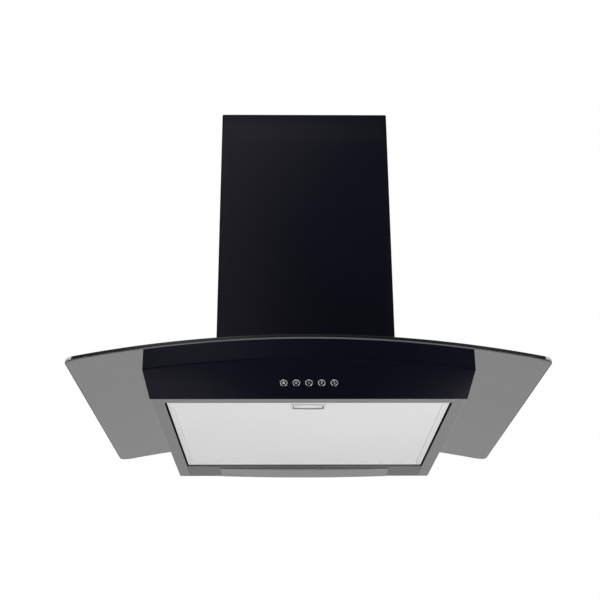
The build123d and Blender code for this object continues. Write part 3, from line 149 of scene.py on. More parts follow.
def place_camera():
    """A camera at the photograph's viewpoint, turned by yaw, then pitch, then roll."""
    ahead_level = Vector((sin(CAMERA_YAW), cos(CAMERA_YAW), 0.0))
    right_level = Vector((cos(CAMERA_YAW), -sin(CAMERA_YAW), 0.0))
    ahead = cos(CAMERA_PITCH) * ahead_level + sin(CAMERA_PITCH) * Vector((0.0, 0.0, 1.0))
    up_level = right_level.cross(ahead)
    right = cos(CAMERA_ROLL) * right_level + sin(CAMERA_ROLL) * up_level
    up = cos(CAMERA_ROLL) * up_level - sin(CAMERA_ROLL) * right_level
    lens = bpy.data.cameras.new("camera")
    lens.sensor_width = SENSOR_WIDTH
    lens.lens = FOCAL_PIXELS * SENSOR_WIDTH / PHOTO_PIXELS
    camera = bpy.data.objects.new("camera", lens)
    bpy.context.scene.collection.objects.link(camera)
    turn = Matrix((right, up, -ahead)).transposed()
    camera.matrix_world = Matrix.Translation(CAMERA_PLACE) @ turn.to_4x4()
    bpy.context.scene.camera = camera


def soft_box(name, place, target, width, height, power):
    """A rectangular studio light at place that faces target."""
    light = bpy.data.lights.new(name, "AREA")
    light.shape = "RECTANGLE"
    light.size = width
    light.size_y = height
    light.energy = power
    lamp = bpy.data.objects.new(name, light)
    bpy.context.scene.collection.objects.link(lamp)
    turn = (Vector(target) - Vector(place)).to_track_quat("-Z", "Y")
    lamp.matrix_world = Matrix.Translation(place) @ turn.to_matrix().to_4x4()
    lamp.visible_camera = False
    return lamp


def gloss_panel(name, *layout):
    """A panel that only gloss shows, as a studio's reflector does."""
    lamp = soft_box(name, *layout)
    lamp.visible_diffuse = False
    lamp.visible_transmission = False
    lamp.visible_volume_scatter = False


def light_scene():
    """White surroundings for what the camera, gloss and glass see, soft light for the rest."""
    world = bpy.data.worlds.new("studio")
    bpy.context.scene.world = world
    world.use_nodes = True
    world.node_tree.nodes.clear()
    graph = Graph(world.node_tree)
    path = graph.node("LightPath").outputs
    seen = graph.maths("MAXIMUM", path["Is Camera Ray"], path["Is Glossy Ray"])
    seen = graph.maths("MAXIMUM", seen, path["Is Transmission Ray"])
    level = graph.node("MapRange", Value=seen, To_Min=AMBIENT, To_Max=1.0)
    back = graph.node("Background", Color=WHITE, Strength=level.outputs["Result"])
    graph.node("OutputWorld", Surface=back.outputs["Background"])
    for name, layout in SOFT_BOXES.items():
        soft_box(name, *layout)
    for name, layout in GLOSS_PANELS.items():
        gloss_panel(name, *layout)


def lay_floor():
    """A wide square floor, level and below the hood."""
    edge = np.array([-FLOOR_HALF_WIDTH, FLOOR_HALF_WIDTH])
    x, y = np.meshgrid(edge, edge)
    corners = np.column_stack([x.ravel(), y.ravel(), np.full(4, UNDERSIDE - FLOOR_DROP)])
    mesh = bpy.data.meshes.new("floor")
    mesh.from_pydata(corners.tolist(), [], [(0, 1, 3, 2)])
    floor = bpy.data.objects.new("floor", mesh)
    bpy.context.scene.collection.objects.link(floor)
    mesh.materials.append(coat("floor paint", 60.0, light=0.86, dark=0.82, rough=0.75, swing=0.1,
                               bump=0.05, relief=0.002))


# ---------------------------------------------------------------- shared effects

LOOK = {"Light": "Color", "Dark": "Color", "Roughness": "Float", "Roughness Swing": "Float"}
RESULTS = {"Color": "Color", "Roughness": "Float", "Height": "Float"}
TONE_SPAN = {"From_Min": 0.3, "From_Max": 0.7}  # noise levels of the darkest and lightest tone
CLOUD_SHARE = 0.6        # weight of the clouds that are added to the streaks
HALF_CELL = 0.5
ROW_STEP = 3.0 ** 0.5    # step of two rows over the pitch, for holes in triangles


def sheet_grain():
    """Rolled or brushed metal: fine streaks along one axis, and soft cloudy tone.

    Noise is stretched by the Stretch vector, so a small factor makes long streaks that way.
    Tone is the streaks plus a share of the clouds, and roughness follows it.
    """
    graph, start = new_group("sheet grain", {"Stretch": "Vector", **LOOK}, RESULTS)
    place = graph.node("TexCoord").outputs["Object"]
    scaled = graph.maths("MULTIPLY", place, start["Stretch"], kind="VectorMath")
    streaks = graph.node("TexNoise", Vector=scaled, Scale=1.0, Detail=4.0, Roughness=0.6)
    clouds = graph.node("TexNoise", Vector=place, Scale=7.0, Detail=3.0, Roughness=0.5)
    spread = graph.node("MapRange", Value=streaks.outputs["Fac"], **TONE_SPAN)
    cloudy = graph.maths("MULTIPLY_ADD", clouds.outputs["Fac"], CLOUD_SHARE, -0.5 * CLOUD_SHARE)
    total = graph.maths("ADD", spread.outputs["Result"], cloudy, use_clamp=True)
    tone = graph.mix(total, start["Dark"], start["Light"])
    rough = graph.maths("MULTIPLY_ADD", total, start["Roughness Swing"], start["Roughness"])
    return finish_group(graph, Color=tone, Roughness=rough, Height=streaks.outputs["Fac"])


def coat_skin():
    """A sprayed or moulded skin: orange peel of small smooth bumps, and cloudy tone.

    Tone moves between Light and Dark with broad noise, and roughness with fine noise.
    """
    graph, start = new_group("coat skin", {"Peel Scale": "Float", **LOOK}, RESULTS)
    place = graph.node("TexCoord").outputs["Object"]
    peel = graph.node("TexNoise", Vector=place, Scale=start["Peel Scale"], Detail=2.0,
                      Roughness=0.4)
    clouds = graph.node("TexNoise", Vector=place, Scale=5.0, Detail=4.0, Roughness=0.55)
    fine = graph.node("TexNoise", Vector=place, Scale=90.0, Detail=3.0, Roughness=0.7)
    blotch = graph.node("MapRange", Value=clouds.outputs["Fac"], **TONE_SPAN)
    tone = graph.mix(blotch.outputs["Result"], start["Dark"], start["Light"])
    rough = graph.maths("MULTIPLY_ADD", fine.outputs["Fac"], start["Roughness Swing"],
                        start["Roughness"])
    return finish_group(graph, Color=tone, Roughness=rough, Height=peel.outputs["Fac"])


def perforation():
    """Round holes in staggered rows, as a 0 to 1 mask over X and Y.

    Two grids of cells, one moved by half a cell, each give the distance to their own cell's
    middle. The mask is 1 where the smaller of the two distances is within the hole.
    """
    graph, start = new_group("perforation", {"Pitch": "Float", "Hole": "Float"},
                             {"Mask": "Float"})
    place = graph.node("TexCoord").outputs["Object"]
    squeeze = graph.node("Mapping", Vector=place, Scale=(1.0, 1.0 / ROW_STEP, 0.0))
    count = graph.maths("DIVIDE", 1.0, start["Pitch"])
    cells = graph.node("VectorMath", {"operation": "SCALE"},
                       Vector=squeeze.outputs["Vector"], Scale=count).outputs[0]
    distances = []
    for moved in (0.0, HALF_CELL):
        shifted = graph.maths("ADD", cells, (moved, moved, 0.0), kind="VectorMath")
        inside = graph.maths("FRACTION", shifted, kind="VectorMath")
        centred = graph.maths("SUBTRACT", inside, (HALF_CELL, HALF_CELL, 0.0),
                              kind="VectorMath")
        round_again = graph.maths("MULTIPLY", centred, (1.0, ROW_STEP, 0.0), kind="VectorMath")
        length = graph.node("VectorMath", {"operation": "LENGTH"}, Vector=round_again)
        distances.append(length.outputs["Value"])
    nearest = graph.maths("MINIMUM", *distances)
    return finish_group(graph, Mask=graph.maths("LESS_THAN", nearest, start["Hole"]))


GRAIN = sheet_grain()
SKIN = coat_skin()
HOLES = perforation()

# ---------------------------------------------------------------- materials

GLASS_TINT = (0.20, 0.20, 0.21, 1.0)
GLASS_DENSITY = 400.0
RELIEF = 0.0001          # height of most finishes' bumps
HOLE_PITCH = 0.003
HOLE_RADIUS = 0.3        # in pitches
LONG_STREAK = 30.0       # stretch of a brushed strip's grain along it
FINE_STREAK = 1500.0     # and across it
FILTER_GRAIN = (1400.0, 60.0, 1400.0)


def rgba(colour):
    """A shader's colour, from red, green and blue or from one grey level."""
    return (*np.broadcast_to(colour, 3).tolist(), 1.0)


def finished(name, effect, scale, light, dark, rough, swing, bump, relief=RELIEF, pierced=None,
             **shader_values):
    """A material whose colour, roughness and relief come from a shared effect.

    Colour goes from dark to light, and roughness from rough up by swing. bump is the strength
    of the relief. pierced is the colour seen in the round holes of a perforated sheet.
    """
    material = bpy.data.materials.new(name)
    material.use_nodes = True
    material.node_tree.nodes.clear()
    graph = Graph(material.node_tree)
    skin = graph.node("Group", {"node_tree": effect}, **scale, Light=rgba(light),
                      Dark=rgba(dark), Roughness=rough, Roughness_Swing=swing).outputs
    colour = skin["Color"]
    if pierced is not None:
        holes = graph.node("Group", {"node_tree": HOLES}, Pitch=HOLE_PITCH, Hole=HOLE_RADIUS)
        colour = graph.mix(holes.outputs["Mask"], colour, rgba(pierced))
    bumps = graph.node("Bump", Height=skin["Height"], Strength=bump, Distance=relief)
    shader = graph.node("BsdfPrincipled", Base_Color=colour, Roughness=skin["Roughness"],
                        Normal=bumps.outputs["Normal"], **shader_values)
    graph.node("OutputMaterial", Surface=shader.outputs["BSDF"])
    return material


def coat(name, peel, **look):
    """A sprayed, moulded or ground finish: so many bumps to the metre under a cloudy tone."""
    return finished(name, SKIN, {"Peel_Scale": peel}, **look)


def metal(name, stretch, **look):
    """Bare metal, with so many streaks to the metre along each axis."""
    return finished(name, GRAIN, {"Stretch": stretch}, **look)


def brushed_strip(name, along, light, dark):
    """Brushed dark steel whose grain runs along X or Y."""
    stretch = [LONG_STREAK if axis == along else FINE_STREAK for axis in "XYZ"]
    return metal(name, stretch, light=light, dark=dark, rough=0.34, swing=0.1, bump=0.1,
                 Metallic=0.6, Specular_IOR_Level=0.3)


def smoked_glass():
    """Float glass with a grey tint all through it, so a longer way through it is darker."""
    glass = coat("smoked glass", 3.0, light=0.97, dark=0.93, rough=0.0, swing=0.015, bump=0.01,
                 Transmission_Weight=1.0, IOR=1.5)
    graph = Graph(glass.node_tree)
    tint = graph.node("VolumeAbsorption", Color=GLASS_TINT, Density=GLASS_DENSITY)
    graph.put(graph.tree.get_output_node("ALL"), "Volume", tint.outputs["Volume"])
    return glass


MATERIALS = {
    "black_enamel": coat(
        "black enamel", 260.0, light=(0.0015, 0.0016, 0.0046), dark=(0.0010, 0.0011, 0.0036),
        rough=0.20, swing=0.08, bump=0.03, relief=0.0002, Specular_IOR_Level=0.013),
    "smoked_glass": smoked_glass(),
    "ground_edge": coat(
        "ground glass edge", 900.0, light=(0.008, 0.008, 0.009), dark=(0.005, 0.005, 0.006),
        rough=0.1, swing=0.08, bump=0.05, Specular_IOR_Level=0.03),
    # painted highlight: a light finish on the edge's rounded corners, where a lamp's reflection
    # would gleam
    "painted_corner_highlight": coat(
        "glass corner painted highlight", 1800.0, light=0.33, dark=0.22, rough=0.5, swing=0.15, bump=0.2),
    "grey_steel": coat(
        "grey satin coat", 700.0, light=0.235, dark=(0.21, 0.21, 0.212), rough=0.38, swing=0.12,
        bump=0.12, Specular_IOR_Level=0.3),
    "zinc_steel": metal(
        "zinc coated sheet", (90.0, 90.0, 900.0), light=(0.60, 0.61, 0.62),
        dark=(0.44, 0.45, 0.47), rough=0.28, swing=0.14, bump=0.1, Metallic=0.9),
    "filter_aluminium": metal(
        "filter aluminium", FILTER_GRAIN, light=0.66, dark=0.58, rough=0.42, swing=0.12,
        bump=0.08, Metallic=0.25),
    "pierced_aluminium": metal(
        "perforated aluminium", FILTER_GRAIN, light=0.74, dark=0.665, rough=0.42, swing=0.12,
        bump=0.08, pierced=0.55, Metallic=0.12, Specular_IOR_Level=0.2),
    "fastener_steel": metal(
        "zinc plated steel", (2400.0, 2400.0, 2400.0), light=0.60, dark=(0.42, 0.42, 0.43),
        rough=0.25, swing=0.12, bump=0.1, Metallic=1.0),
    "button_chrome": metal(
        "button chrome", (900.0, 900.0, 900.0), light=(0.19, 0.19, 0.195),
        dark=(0.14, 0.14, 0.145), rough=0.12, swing=0.1, bump=0.03, Metallic=1.0),
    "button_dish": coat(
        "button dish", 1500.0, light=(0.006, 0.006, 0.007), dark=(0.004, 0.004, 0.005),
        rough=0.25, swing=0.1, bump=0.05, Specular_IOR_Level=0.03),
    "front_strip": brushed_strip("brushed front strip", "X", 0.20, 0.155),
    "side_strip": brushed_strip("brushed side strip", "Y", 0.192, 0.152),
    # painted shade: the rear strip is a much darker copy of the same brushed steel, and the side
    # strip a slightly darker one
    "shaded_rear_strip": brushed_strip("brushed rear strip in painted shade", "X", 0.108, 0.080),
    "lamp_diffuser": coat(
        "frosted lamp cover", 900.0, light=0.24, dark=0.19, rough=0.4, swing=0.15, bump=0.1,
        Transmission_Weight=0.12, IOR=1.49),
    "bulb_glass": coat(
        "frosted bulb glass", 800.0, light=(0.90, 0.90, 0.88), dark=(0.84, 0.84, 0.82),
        rough=0.3, swing=0.1, bump=0.05, Transmission_Weight=0.5, IOR=1.45),
    "white_plastic": coat(
        "white moulding", 1100.0, light=(0.78, 0.78, 0.76), dark=(0.70, 0.70, 0.68),
        rough=0.38, swing=0.15, bump=0.15),
    "black_plastic": coat(
        "black moulding", 1300.0, light=(0.026, 0.026, 0.027), dark=(0.016, 0.016, 0.017),
        rough=0.42, swing=0.16, bump=0.2),
    "grey_plastic": coat(
        "grey moulding", 1300.0, light=(0.31, 0.32, 0.33), dark=(0.25, 0.26, 0.27),
        rough=0.42, swing=0.16, bump=0.2),
    "seal_foam": coat(
        "foam seal", 1800.0, light=(0.055, 0.055, 0.058), dark=(0.028, 0.028, 0.03),
        rough=0.85, swing=0.1, bump=0.5, relief=0.0002),
    "bush_rubber": coat(
        "black rubber", 1500.0, light=0.035, dark=0.022, rough=0.7, swing=0.15, bump=0.3),
    "motor_metal": metal(
        "motor shell", (700.0, 250.0, 250.0), light=(0.50, 0.51, 0.52), dark=(0.36, 0.37, 0.38),
        rough=0.4, swing=0.15, bump=0.15, Metallic=0.8),
    "nylon": coat(
        "natural nylon", 1200.0, light=(0.78, 0.77, 0.72), dark=(0.70, 0.69, 0.64),
        rough=0.4, swing=0.15, bump=0.1, Subsurface_Weight=0.1)}
SLOT_OF = {part["node"]: part["material_slot"] for part in frame["record"]["subparts"]}
BODY_OF = {node: body for body, members in frame["record"]["behaviour"]["bodies"].items()
           for node in members}
OWN_FINISH = {           # of the nodes whose finish isn't simply their slot's
    "front_lip": "front_strip", "side_rail_left": "side_strip",
    "side_rail_right": "side_strip", "rear_rail": "shaded_rear_strip",
    "filter_face": "pierced_aluminium"}


def finish_of(node):
    """The node's own finish, or else that of its slot."""
    return MATERIALS[OWN_FINISH.get(node, SLOT_OF[node])]


def dress_nodes():
    """Gives every CAD node its finish."""
    for name, node in nodes.items():
        if not node.data.materials:
            node.data.materials.append(finish_of(name))
        for slot in node.material_slots:
            slot.material = finish_of(name)


# ---------------------------------------------------------------- surfaces

WELD = 1e-6              # points nearer than this are one
FLAT = radians(0.4)      # triangles that meet at less than this are one face
SHARP = radians(35.0)    # creases over this stay sharp, or get a bevel
BEVEL_SEGMENTS = 2
CORNER_POINTS = 14       # on each corner of a rounded outline
SIDE_POINTS = 90         # on each side of it
ARCH_RADIUS = 1.460      # of the glass's underside
GLASS_THICKNESS = 0.004
GLASS_LOW, GLASS_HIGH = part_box("canopy_glass")
ARCH_AXIS = GLASS_HIGH.z - GLASS_THICKNESS - ARCH_RADIUS


def arch(radius, x):
    """Height of a round arch: the axis plus the root of the radius squared less x squared."""
    return ARCH_AXIS + np.sqrt(radius ** 2 - np.asarray(x) ** 2)


class Shell:
    """Grids of points gathered into one closed skin, whose touching edges are welded."""

    def __init__(self):
        self.points = []
        self.faces = []
        self.count = 0

    def grid(self, points, wrap_rows=False, wrap_columns=False, skip=None):
        """Adds a grid of points, rows by columns, as quads. skip marks the quads left open."""
        points = np.asarray(points, float)
        rows, columns = points.shape[:2]
        row = np.arange(rows if wrap_rows else rows - 1)
        column = np.arange(columns if wrap_columns else columns - 1)
        row, column = np.meshgrid(row, column, indexing="ij")
        if skip is not None:
            row, column = row[~skip], column[~skip]
        row, column = row.ravel(), column.ravel()
        next_row, next_column = (row + 1) % rows, (column + 1) % columns
        quads = np.column_stack([row * columns + column, row * columns + next_column,
                                 next_row * columns + next_column, next_row * columns + column])
        self.faces += (quads + self.count).tolist()
        self.points.append(points.reshape(-1, 3))
        self.count += rows * columns

    def disc(self, ring):
        """Closes a flat opening whose rim is a ring of points."""
        ring = np.asarray(ring, float)
        self.faces.append(list(range(self.count, self.count + len(ring))))
        self.points.append(ring)
        self.count += len(ring)

    def mesh(self, name):
        """The welded mesh, with its faces turned outwards and its creases kept sharp."""
        mesh = bpy.data.meshes.new(name)
        mesh.from_pydata(np.concatenate(self.points).tolist(), [], self.faces)
        work = bmesh.new()
        work.from_mesh(mesh)
        bmesh.ops.remove_doubles(work, verts=work.verts, dist=WELD)
        bmesh.ops.recalc_face_normals(work, faces=work.faces)
        work.to_mesh(mesh)
        work.free()
        smooth(mesh)
        return mesh


def smooth(mesh):
    """Smooth shading, except across edges sharper than the limit."""
    mesh.shade_smooth()
    mesh.set_sharp_from_angle(angle=SHARP)


def add_piece(name, mesh, node, round_off=0.0):
    """Places a piece in the scene, on the node's body and in its slot, and hides the node.

    round_off is the width of a bevel on every crease.
    """
    piece = bpy.data.objects.new(name, mesh)
    bpy.context.scene.collection.objects.link(piece)
    mesh.materials.append(finish_of(node))
    if round_off:
        bevel = piece.modifiers.new("rounded creases", "BEVEL")
        bevel.width = round_off
        bevel.segments = BEVEL_SEGMENTS
        bevel.limit_method = "ANGLE"
        bevel.angle_limit = SHARP
        bevel.harden_normals = True
    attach(piece, BODY_OF[node])
    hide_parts(node)
    return piece


def faces_of(piece):
    """Normals and middles of a piece's faces, a row for each face."""
    rows = []
    for value in ("normal", "center"):
        flat = np.zeros(3 * len(piece.data.polygons))
        piece.data.polygons.foreach_get(value, flat)
        rows.append(flat.reshape(-1, 3))
    return rows


def second_finish(piece, finish, chosen):
    """Gives the chosen faces of a piece a further finish."""
    mesh = piece.data
    mesh.materials.append(MATERIALS[finish])
    index = np.zeros(len(mesh.polygons), np.int32)
    mesh.polygons.foreach_get("material_index", index)
    index[chosen] = len(mesh.materials) - 1
    mesh.polygons.foreach_set("material_index", index)


def rounded_plan(half_width, front, rear, front_radius, rear_radius):
    """Outline of a rectangle with rounded corners, in plan: quarter circles joined by straights.

    Returns its points and its outward normals, going round once from the rear right corner.
    """
    corners = [(half_width - rear_radius, rear - rear_radius, rear_radius, 0.0),
               (-half_width + rear_radius, rear - rear_radius, rear_radius, 0.5 * pi),
               (-half_width + front_radius, front + front_radius, front_radius, pi),
               (half_width - front_radius, front + front_radius, front_radius, 1.5 * pi)]
    share = np.linspace(0.0, 1.0, SIDE_POINTS + 2)[1:-1, None]
    points, normals = [], []
    for corner, following in zip(corners, corners[1:] + corners[:1]):
        x, y, radius, start = corner
        angle = start + np.linspace(0.0, 0.5 * pi, CORNER_POINTS)
        normal = np.column_stack([np.cos(angle), np.sin(angle)])
        points.append(np.array([x, y]) + radius * normal)
        normals.append(normal)
        x, y, radius, start = following
        after = np.array([x, y]) + radius * np.array([cos(start), sin(start)])
        points.append(points[-1][-1] * (1.0 - share) + after * share)
        normals.append(np.repeat(normal[-1:], SIDE_POINTS, 0))
    return np.concatenate(points), np.concatenate(normals)


# ---------------------------------------------------------------- folded and moulded parts

CREASE = {               # bevel width on each node whose own form is kept
    "front_lip": 0.0003, "side_rail_left": 0.0003, "side_rail_right": 0.0003,
    "rear_rail": 0.0003, "side_wall_left": 0.0003, "side_wall_right": 0.0003,
    "rear_wall": 0.0003, "top_plate": 0.0002, "filter_frame": 0.0003, "latch_pan": 0.0003,
    "latch_slider": 0.0004, "lamp_cover": 0.0004, "lamp_tray": 0.0004, "air_box": 0.0003,
    "duct_collar": 0.0004, "flap_front": 0.0003, "flap_rear": 0.0003,
    "chimney_bracket": 0.0003, "terminal_box": 0.0005, "terminal_lid": 0.0004,
    "capacitor": 0.0008, "motor": 0.0006, "motor_bracket": 0.0003,
    "switch_bank": 0.0004, "switch_strap": 0.0002}
STEEP = 0.9              # part of a normal that tells walls from level faces


def softened(node, width):
    """The node's own form with its creases rounded: a merged copy under a bevel."""
    mesh = nodes[node].data.copy()
    mesh.materials.clear()
    work = bmesh.new()
    work.from_mesh(mesh)
    bmesh.ops.remove_doubles(work, verts=work.verts, dist=WELD)
    bmesh.ops.dissolve_limit(work, angle_limit=FLAT, verts=work.verts, edges=work.edges)
    work.to_mesh(mesh)
    work.free()
    smooth(mesh)
    return add_piece(node + "_finished", mesh, node, round_off=width)


def soften_sheet_metal():
    """Rounds the folded sheets and mouldings, and paints shade into the recesses between them.

    The latch's pan gets darker walls and the side strips black faces towards the middle: both are
    painted shade, not their own colours.
    """
    for node, width in CREASE.items():
        piece = softened(node, width)
        normals, middles = faces_of(piece)
        if node == "latch_pan":
            # painted shade: the pan's walls get a darker finish, so the latch's recess reads as
            # shadowed
            second_finish(piece, "grey_plastic", np.abs(normals[:, 2]) < STEEP)
        if node.startswith("side_rail"):
            # painted shade: the strips' faces towards the middle are painted black, as if in
            # shadow
            inward_painted_shade = normals[:, 0] * np.sign(middles[:, 0]) < -STEEP
            second_finish(piece, "black_enamel", inward_painted_shade)


# ---------------------------------------------------------------- glass canopy

FRONT_CORNER = 0.013
REAR_CORNER = 0.017
POLISHED_EDGE = 0.0007   # radius of the pane's rounded edge
EDGE_POINTS = 6          # on each quarter circle of it
EDGE_STEEPNESS = 0.93    # upright part of a normal, under which a face is the ground edge
CORNER_STEEPNESS = 0.4   # the same, for the corners with a painted highlight
CORNER_TURN = 0.2        # of both level parts of a normal, above which the edge is a corner's
INTAKE_HALF_WIDTH = 0.099
INTAKE_FRONT = -0.250
INTAKE_REAR = -0.030
INTAKE_CORNER = 0.014
RINGS = 34               # from the pane's outline to the intake hole


def canopy():
    """The arched pane: rings between its outline and the intake hole, on two concentric arches.

    Each ring is the hole's outline moved a share of the way to the pane's, and the rounded
    edge is two quarter circles that carry the outer ring from the lower arch to the upper.
    """
    outer, outward = rounded_plan(GLASS_HIGH.x, GLASS_LOW.y, GLASS_HIGH.y,
                                  FRONT_CORNER, REAR_CORNER)
    hole, _ = rounded_plan(INTAKE_HALF_WIDTH, INTAKE_FRONT, INTAKE_REAR,
                           INTAKE_CORNER, INTAKE_CORNER)
    turn = np.linspace(0.0, 0.5 * pi, EDGE_POINTS)
    low_inset = POLISHED_EDGE * (1.0 - np.sin(turn))
    low_level = POLISHED_EDGE * (1.0 - np.cos(turn))
    edge_inset = np.concatenate([low_inset, low_inset[::-1]])
    edge_level = np.concatenate([low_level, GLASS_THICKNESS - low_level[::-1]])
    rim = outer[None] - edge_inset[:, None, None] * outward[None]
    share = np.linspace(0.0, 1.0, RINGS)[1:, None, None]
    inner_rim = outer - POLISHED_EDGE * outward
    across = inner_rim[None] * (1.0 - share) + hole[None] * share
    plan_points = np.concatenate([rim, across, across[::-1]])
    level = np.concatenate([edge_level, np.full(len(share), GLASS_THICKNESS),
                            np.zeros(len(share))])
    height = arch(ARCH_RADIUS + level[:, None], plan_points[:, :, 0])
    shell = Shell()
    shell.grid(np.dstack([plan_points, height]), wrap_rows=True, wrap_columns=True)
    pane = add_piece("canopy_pane", shell.mesh("canopy pane"), "canopy_glass")
    along_x, along_y, upright = np.abs(faces_of(pane)[0]).T
    corner = (upright < CORNER_STEEPNESS) & (along_x > CORNER_TURN) & (along_y > CORNER_TURN)
    second_finish(pane, "ground_edge", upright < EDGE_STEEPNESS)
    # painted highlight: the rounded corners of the edge get a light finish in place of a
    # reflection
    second_finish(pane, "painted_corner_highlight", corner)


# ---------------------------------------------------------------- chimney

CHIMNEY_SHEET = 0.0008
CHIMNEY_BEND = 0.0024
COVER_GAP = 0.0003       # from the glass up to the lower cover's foot
BEND_POINTS = 9          # round each bend of the fold
FLANK_POINTS = 5         # on each side, in plan
FRONT_POINTS = 15        # on each half of the front
RISE_POINTS = 9          # up each face
RIM_POINTS = 5           # over each rim


def chimney_shell(node, low_end):
    """A sheet folded into three sides: its section carried round a U-shaped path.

    The section goes up the outer face, over a half-round rim, down the inner face and back
    under a second rim. low_end gives the foot's height over x.
    """
    low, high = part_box(node)
    half_width, front, rear = high.x, low.y, high.y
    bend = CHIMNEY_BEND
    turn = np.linspace(0.0, 0.5 * pi, BEND_POINTS)
    corner = np.column_stack([np.cos(turn), -np.sin(turn)])
    right_bend = np.array([half_width - bend, front + bend]) + bend * corner
    side_y = np.linspace(rear, front + bend, FLANK_POINTS + 1)[:-1]
    right_side = np.column_stack([np.full(FLANK_POINTS, half_width), side_y])
    half_front = np.linspace(half_width - bend, 0.0, FRONT_POINTS + 1)[1:]
    front_right = np.column_stack([half_front, np.full(FRONT_POINTS, front)])
    right = np.concatenate([right_side, right_bend, front_right])
    right_normal = np.concatenate([np.tile([1.0, 0.0], (FLANK_POINTS, 1)), corner,
                                   np.tile([0.0, -1.0], (FRONT_POINTS, 1))])
    mirror = np.array([-1.0, 1.0])
    path = np.concatenate([right, right[-2::-1] * mirror])
    normal = np.concatenate([right_normal, right_normal[-2::-1] * mirror])
    rim = 0.5 * CHIMNEY_SHEET
    roll = np.linspace(0.0, pi, RIM_POINTS + 2)[1:-1]
    rise = np.linspace(0.0, 1.0, RISE_POINTS)
    face = np.zeros(RISE_POINTS)
    inset = np.concatenate([face, rim * (1.0 - np.cos(roll)),
                            face + 2 * rim, rim * (1.0 + np.cos(roll))])
    share = np.concatenate([rise, np.ones(RIM_POINTS), rise[::-1], np.zeros(RIM_POINTS)])
    lift = np.concatenate([face, rim * np.sin(roll), face, -rim * np.sin(roll)])
    plan_points = path[None] - inset[:, None, None] * normal[None]
    foot = low_end(plan_points[:, :, 0]) + rim
    height = foot + share[:, None] * (high.z - rim - foot) + lift[:, None]
    points = np.dstack([plan_points, height])
    shell = Shell()
    shell.grid(points, wrap_rows=True)
    shell.disc(points[:, 0])
    shell.disc(points[:, -1])
    add_piece(node + "_folded", shell.mesh(node + " folded"), node)


def chimneys():
    """The lower cover, whose foot follows the glass, and the sliding upper one."""
    glass_top = ARCH_RADIUS + GLASS_THICKNESS
    chimney_shell("chimney_cover", lambda x: arch(glass_top + COVER_GAP, x))
    straight_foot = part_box("chimney_extension")[0].z
    chimney_shell("chimney_extension", lambda x: np.full_like(x, straight_foot))


# ---------------------------------------------------------------- fascia

FASCIA_SHEET = 0.0012
FASCIA_BEND = 0.0016
FASCIA_CREASE = 0.0002   # width of the bevel on its edges
FASCIA_FRONT = -0.500
FASCIA_FOOT = -0.464
FASCIA_HALF_WIDTH = 0.203
FASCIA_FOOT_HALF_WIDTH = 0.197
PLATE_RADIUS = 1.458     # of the arch that the fascia's top edge follows
FOLD_DROP = 0.0284       # from the glass down to the fold
BUTTONS = ["push_button_%d" % (place + 1) for place in range(5)]
BUTTON_PITCH = 0.0156
BUTTON_HOLE = 0.0049     # radius of the hole round a button
BUTTON_UP_FACE = 0.0223  # from the foot, along the slope
CELLS = 8                # of the sheet's grid to a button's pitch, across and up
SIDE_COLUMNS = 24        # of the grid, from the buttons to each end
BEND_ROWS = 6            # down the upright, and again round the bend
SLOPE_ROWS = 5           # above the buttons, and again below them
NARROWING_ROUNDS = 2     # a row's width depends on its height, which depends on its width
PATCH_RINGS = 5          # of points, from a hole's edge to the grid


def button_shift(place):
    """How far to the right of the middle a button stands."""
    return (place - len(BUTTONS) // 2) * BUTTON_PITCH


def fold_height(x):
    """Height of the fold's corner: the glass's arch less a drop."""
    return arch(ARCH_RADIUS, x) - FOLD_DROP


def fascia_length(x):
    """Length of the slope from the fold's corner to the foot."""
    return np.hypot(FASCIA_FOOT - FASCIA_FRONT, fold_height(x) - UNDERSIDE)


def slope_drop(x, up):
    """How far down the sheet a point lies that is up the slope from the foot."""
    return 3.0 - up / (fascia_length(x) - FASCIA_BEND)


def fascia_point(x, drop, depth):
    """A point on the folded sheet, at a distance down its outer face and a depth into it.

    drop 0 to 1 runs down the upright, 1 to 2 round the bend, and 2 to 3 down the slope. The
    bend is a parabola between the two flat parts, and depth moves along the sheet's normal.
    """
    fold = fold_height(x)
    top = arch(PLATE_RADIUS, x)
    length = fascia_length(x)
    way_y, way_z = (FASCIA_FOOT - FASCIA_FRONT) / length, -(fold - UNDERSIDE) / length
    first = np.clip(drop, 0.0, 1.0)
    bend = np.clip(drop - 1.0, 0.0, 1.0)
    last = np.clip(drop - 2.0, 0.0, 1.0)
    down_slope = FASCIA_BEND * bend ** 2 + (length - FASCIA_BEND) * last
    y = FASCIA_FRONT + way_y * down_slope
    z = (top + (fold + FASCIA_BEND - top) * first
         - 2.0 * FASCIA_BEND * bend * (1.0 - 0.5 * bend) + way_z * down_slope)
    tilt = bend * np.arctan2(way_y, -way_z)
    y = y + depth * np.cos(tilt)
    z = z + depth * np.sin(tilt)
    return y, np.maximum(z, UNDERSIDE)


def sheet_face(columns, reach, fixed_drop, up_slope, depth):
    """One face of the fascia's sheet: rows of points across it, from the top to the foot.

    columns are the places that stay, and reach the share of the way from there to the ends.
    """
    zone = columns[-1]
    side_fold = fold_height(FASCIA_HALF_WIDTH)
    rows = []
    for place in range(len(fixed_drop) + len(up_slope)):
        x = columns + reach * (FASCIA_HALF_WIDTH - zone)
        for _ in range(NARROWING_ROUNDS):
            if place < len(fixed_drop):
                drop = np.full_like(x, fixed_drop[place])
            else:
                drop = slope_drop(x, up_slope[place - len(fixed_drop)])
            y, z = fascia_point(x, drop, depth)
            narrow = np.clip((side_fold - z) / (side_fold - UNDERSIDE), 0.0, 1.0)
            half = FASCIA_HALF_WIDTH - narrow * (FASCIA_HALF_WIDTH - FASCIA_FOOT_HALF_WIDTH)
            x = columns + reach * (half - zone)
        rows.append(np.column_stack([x, y, z]))
    return np.array(rows)


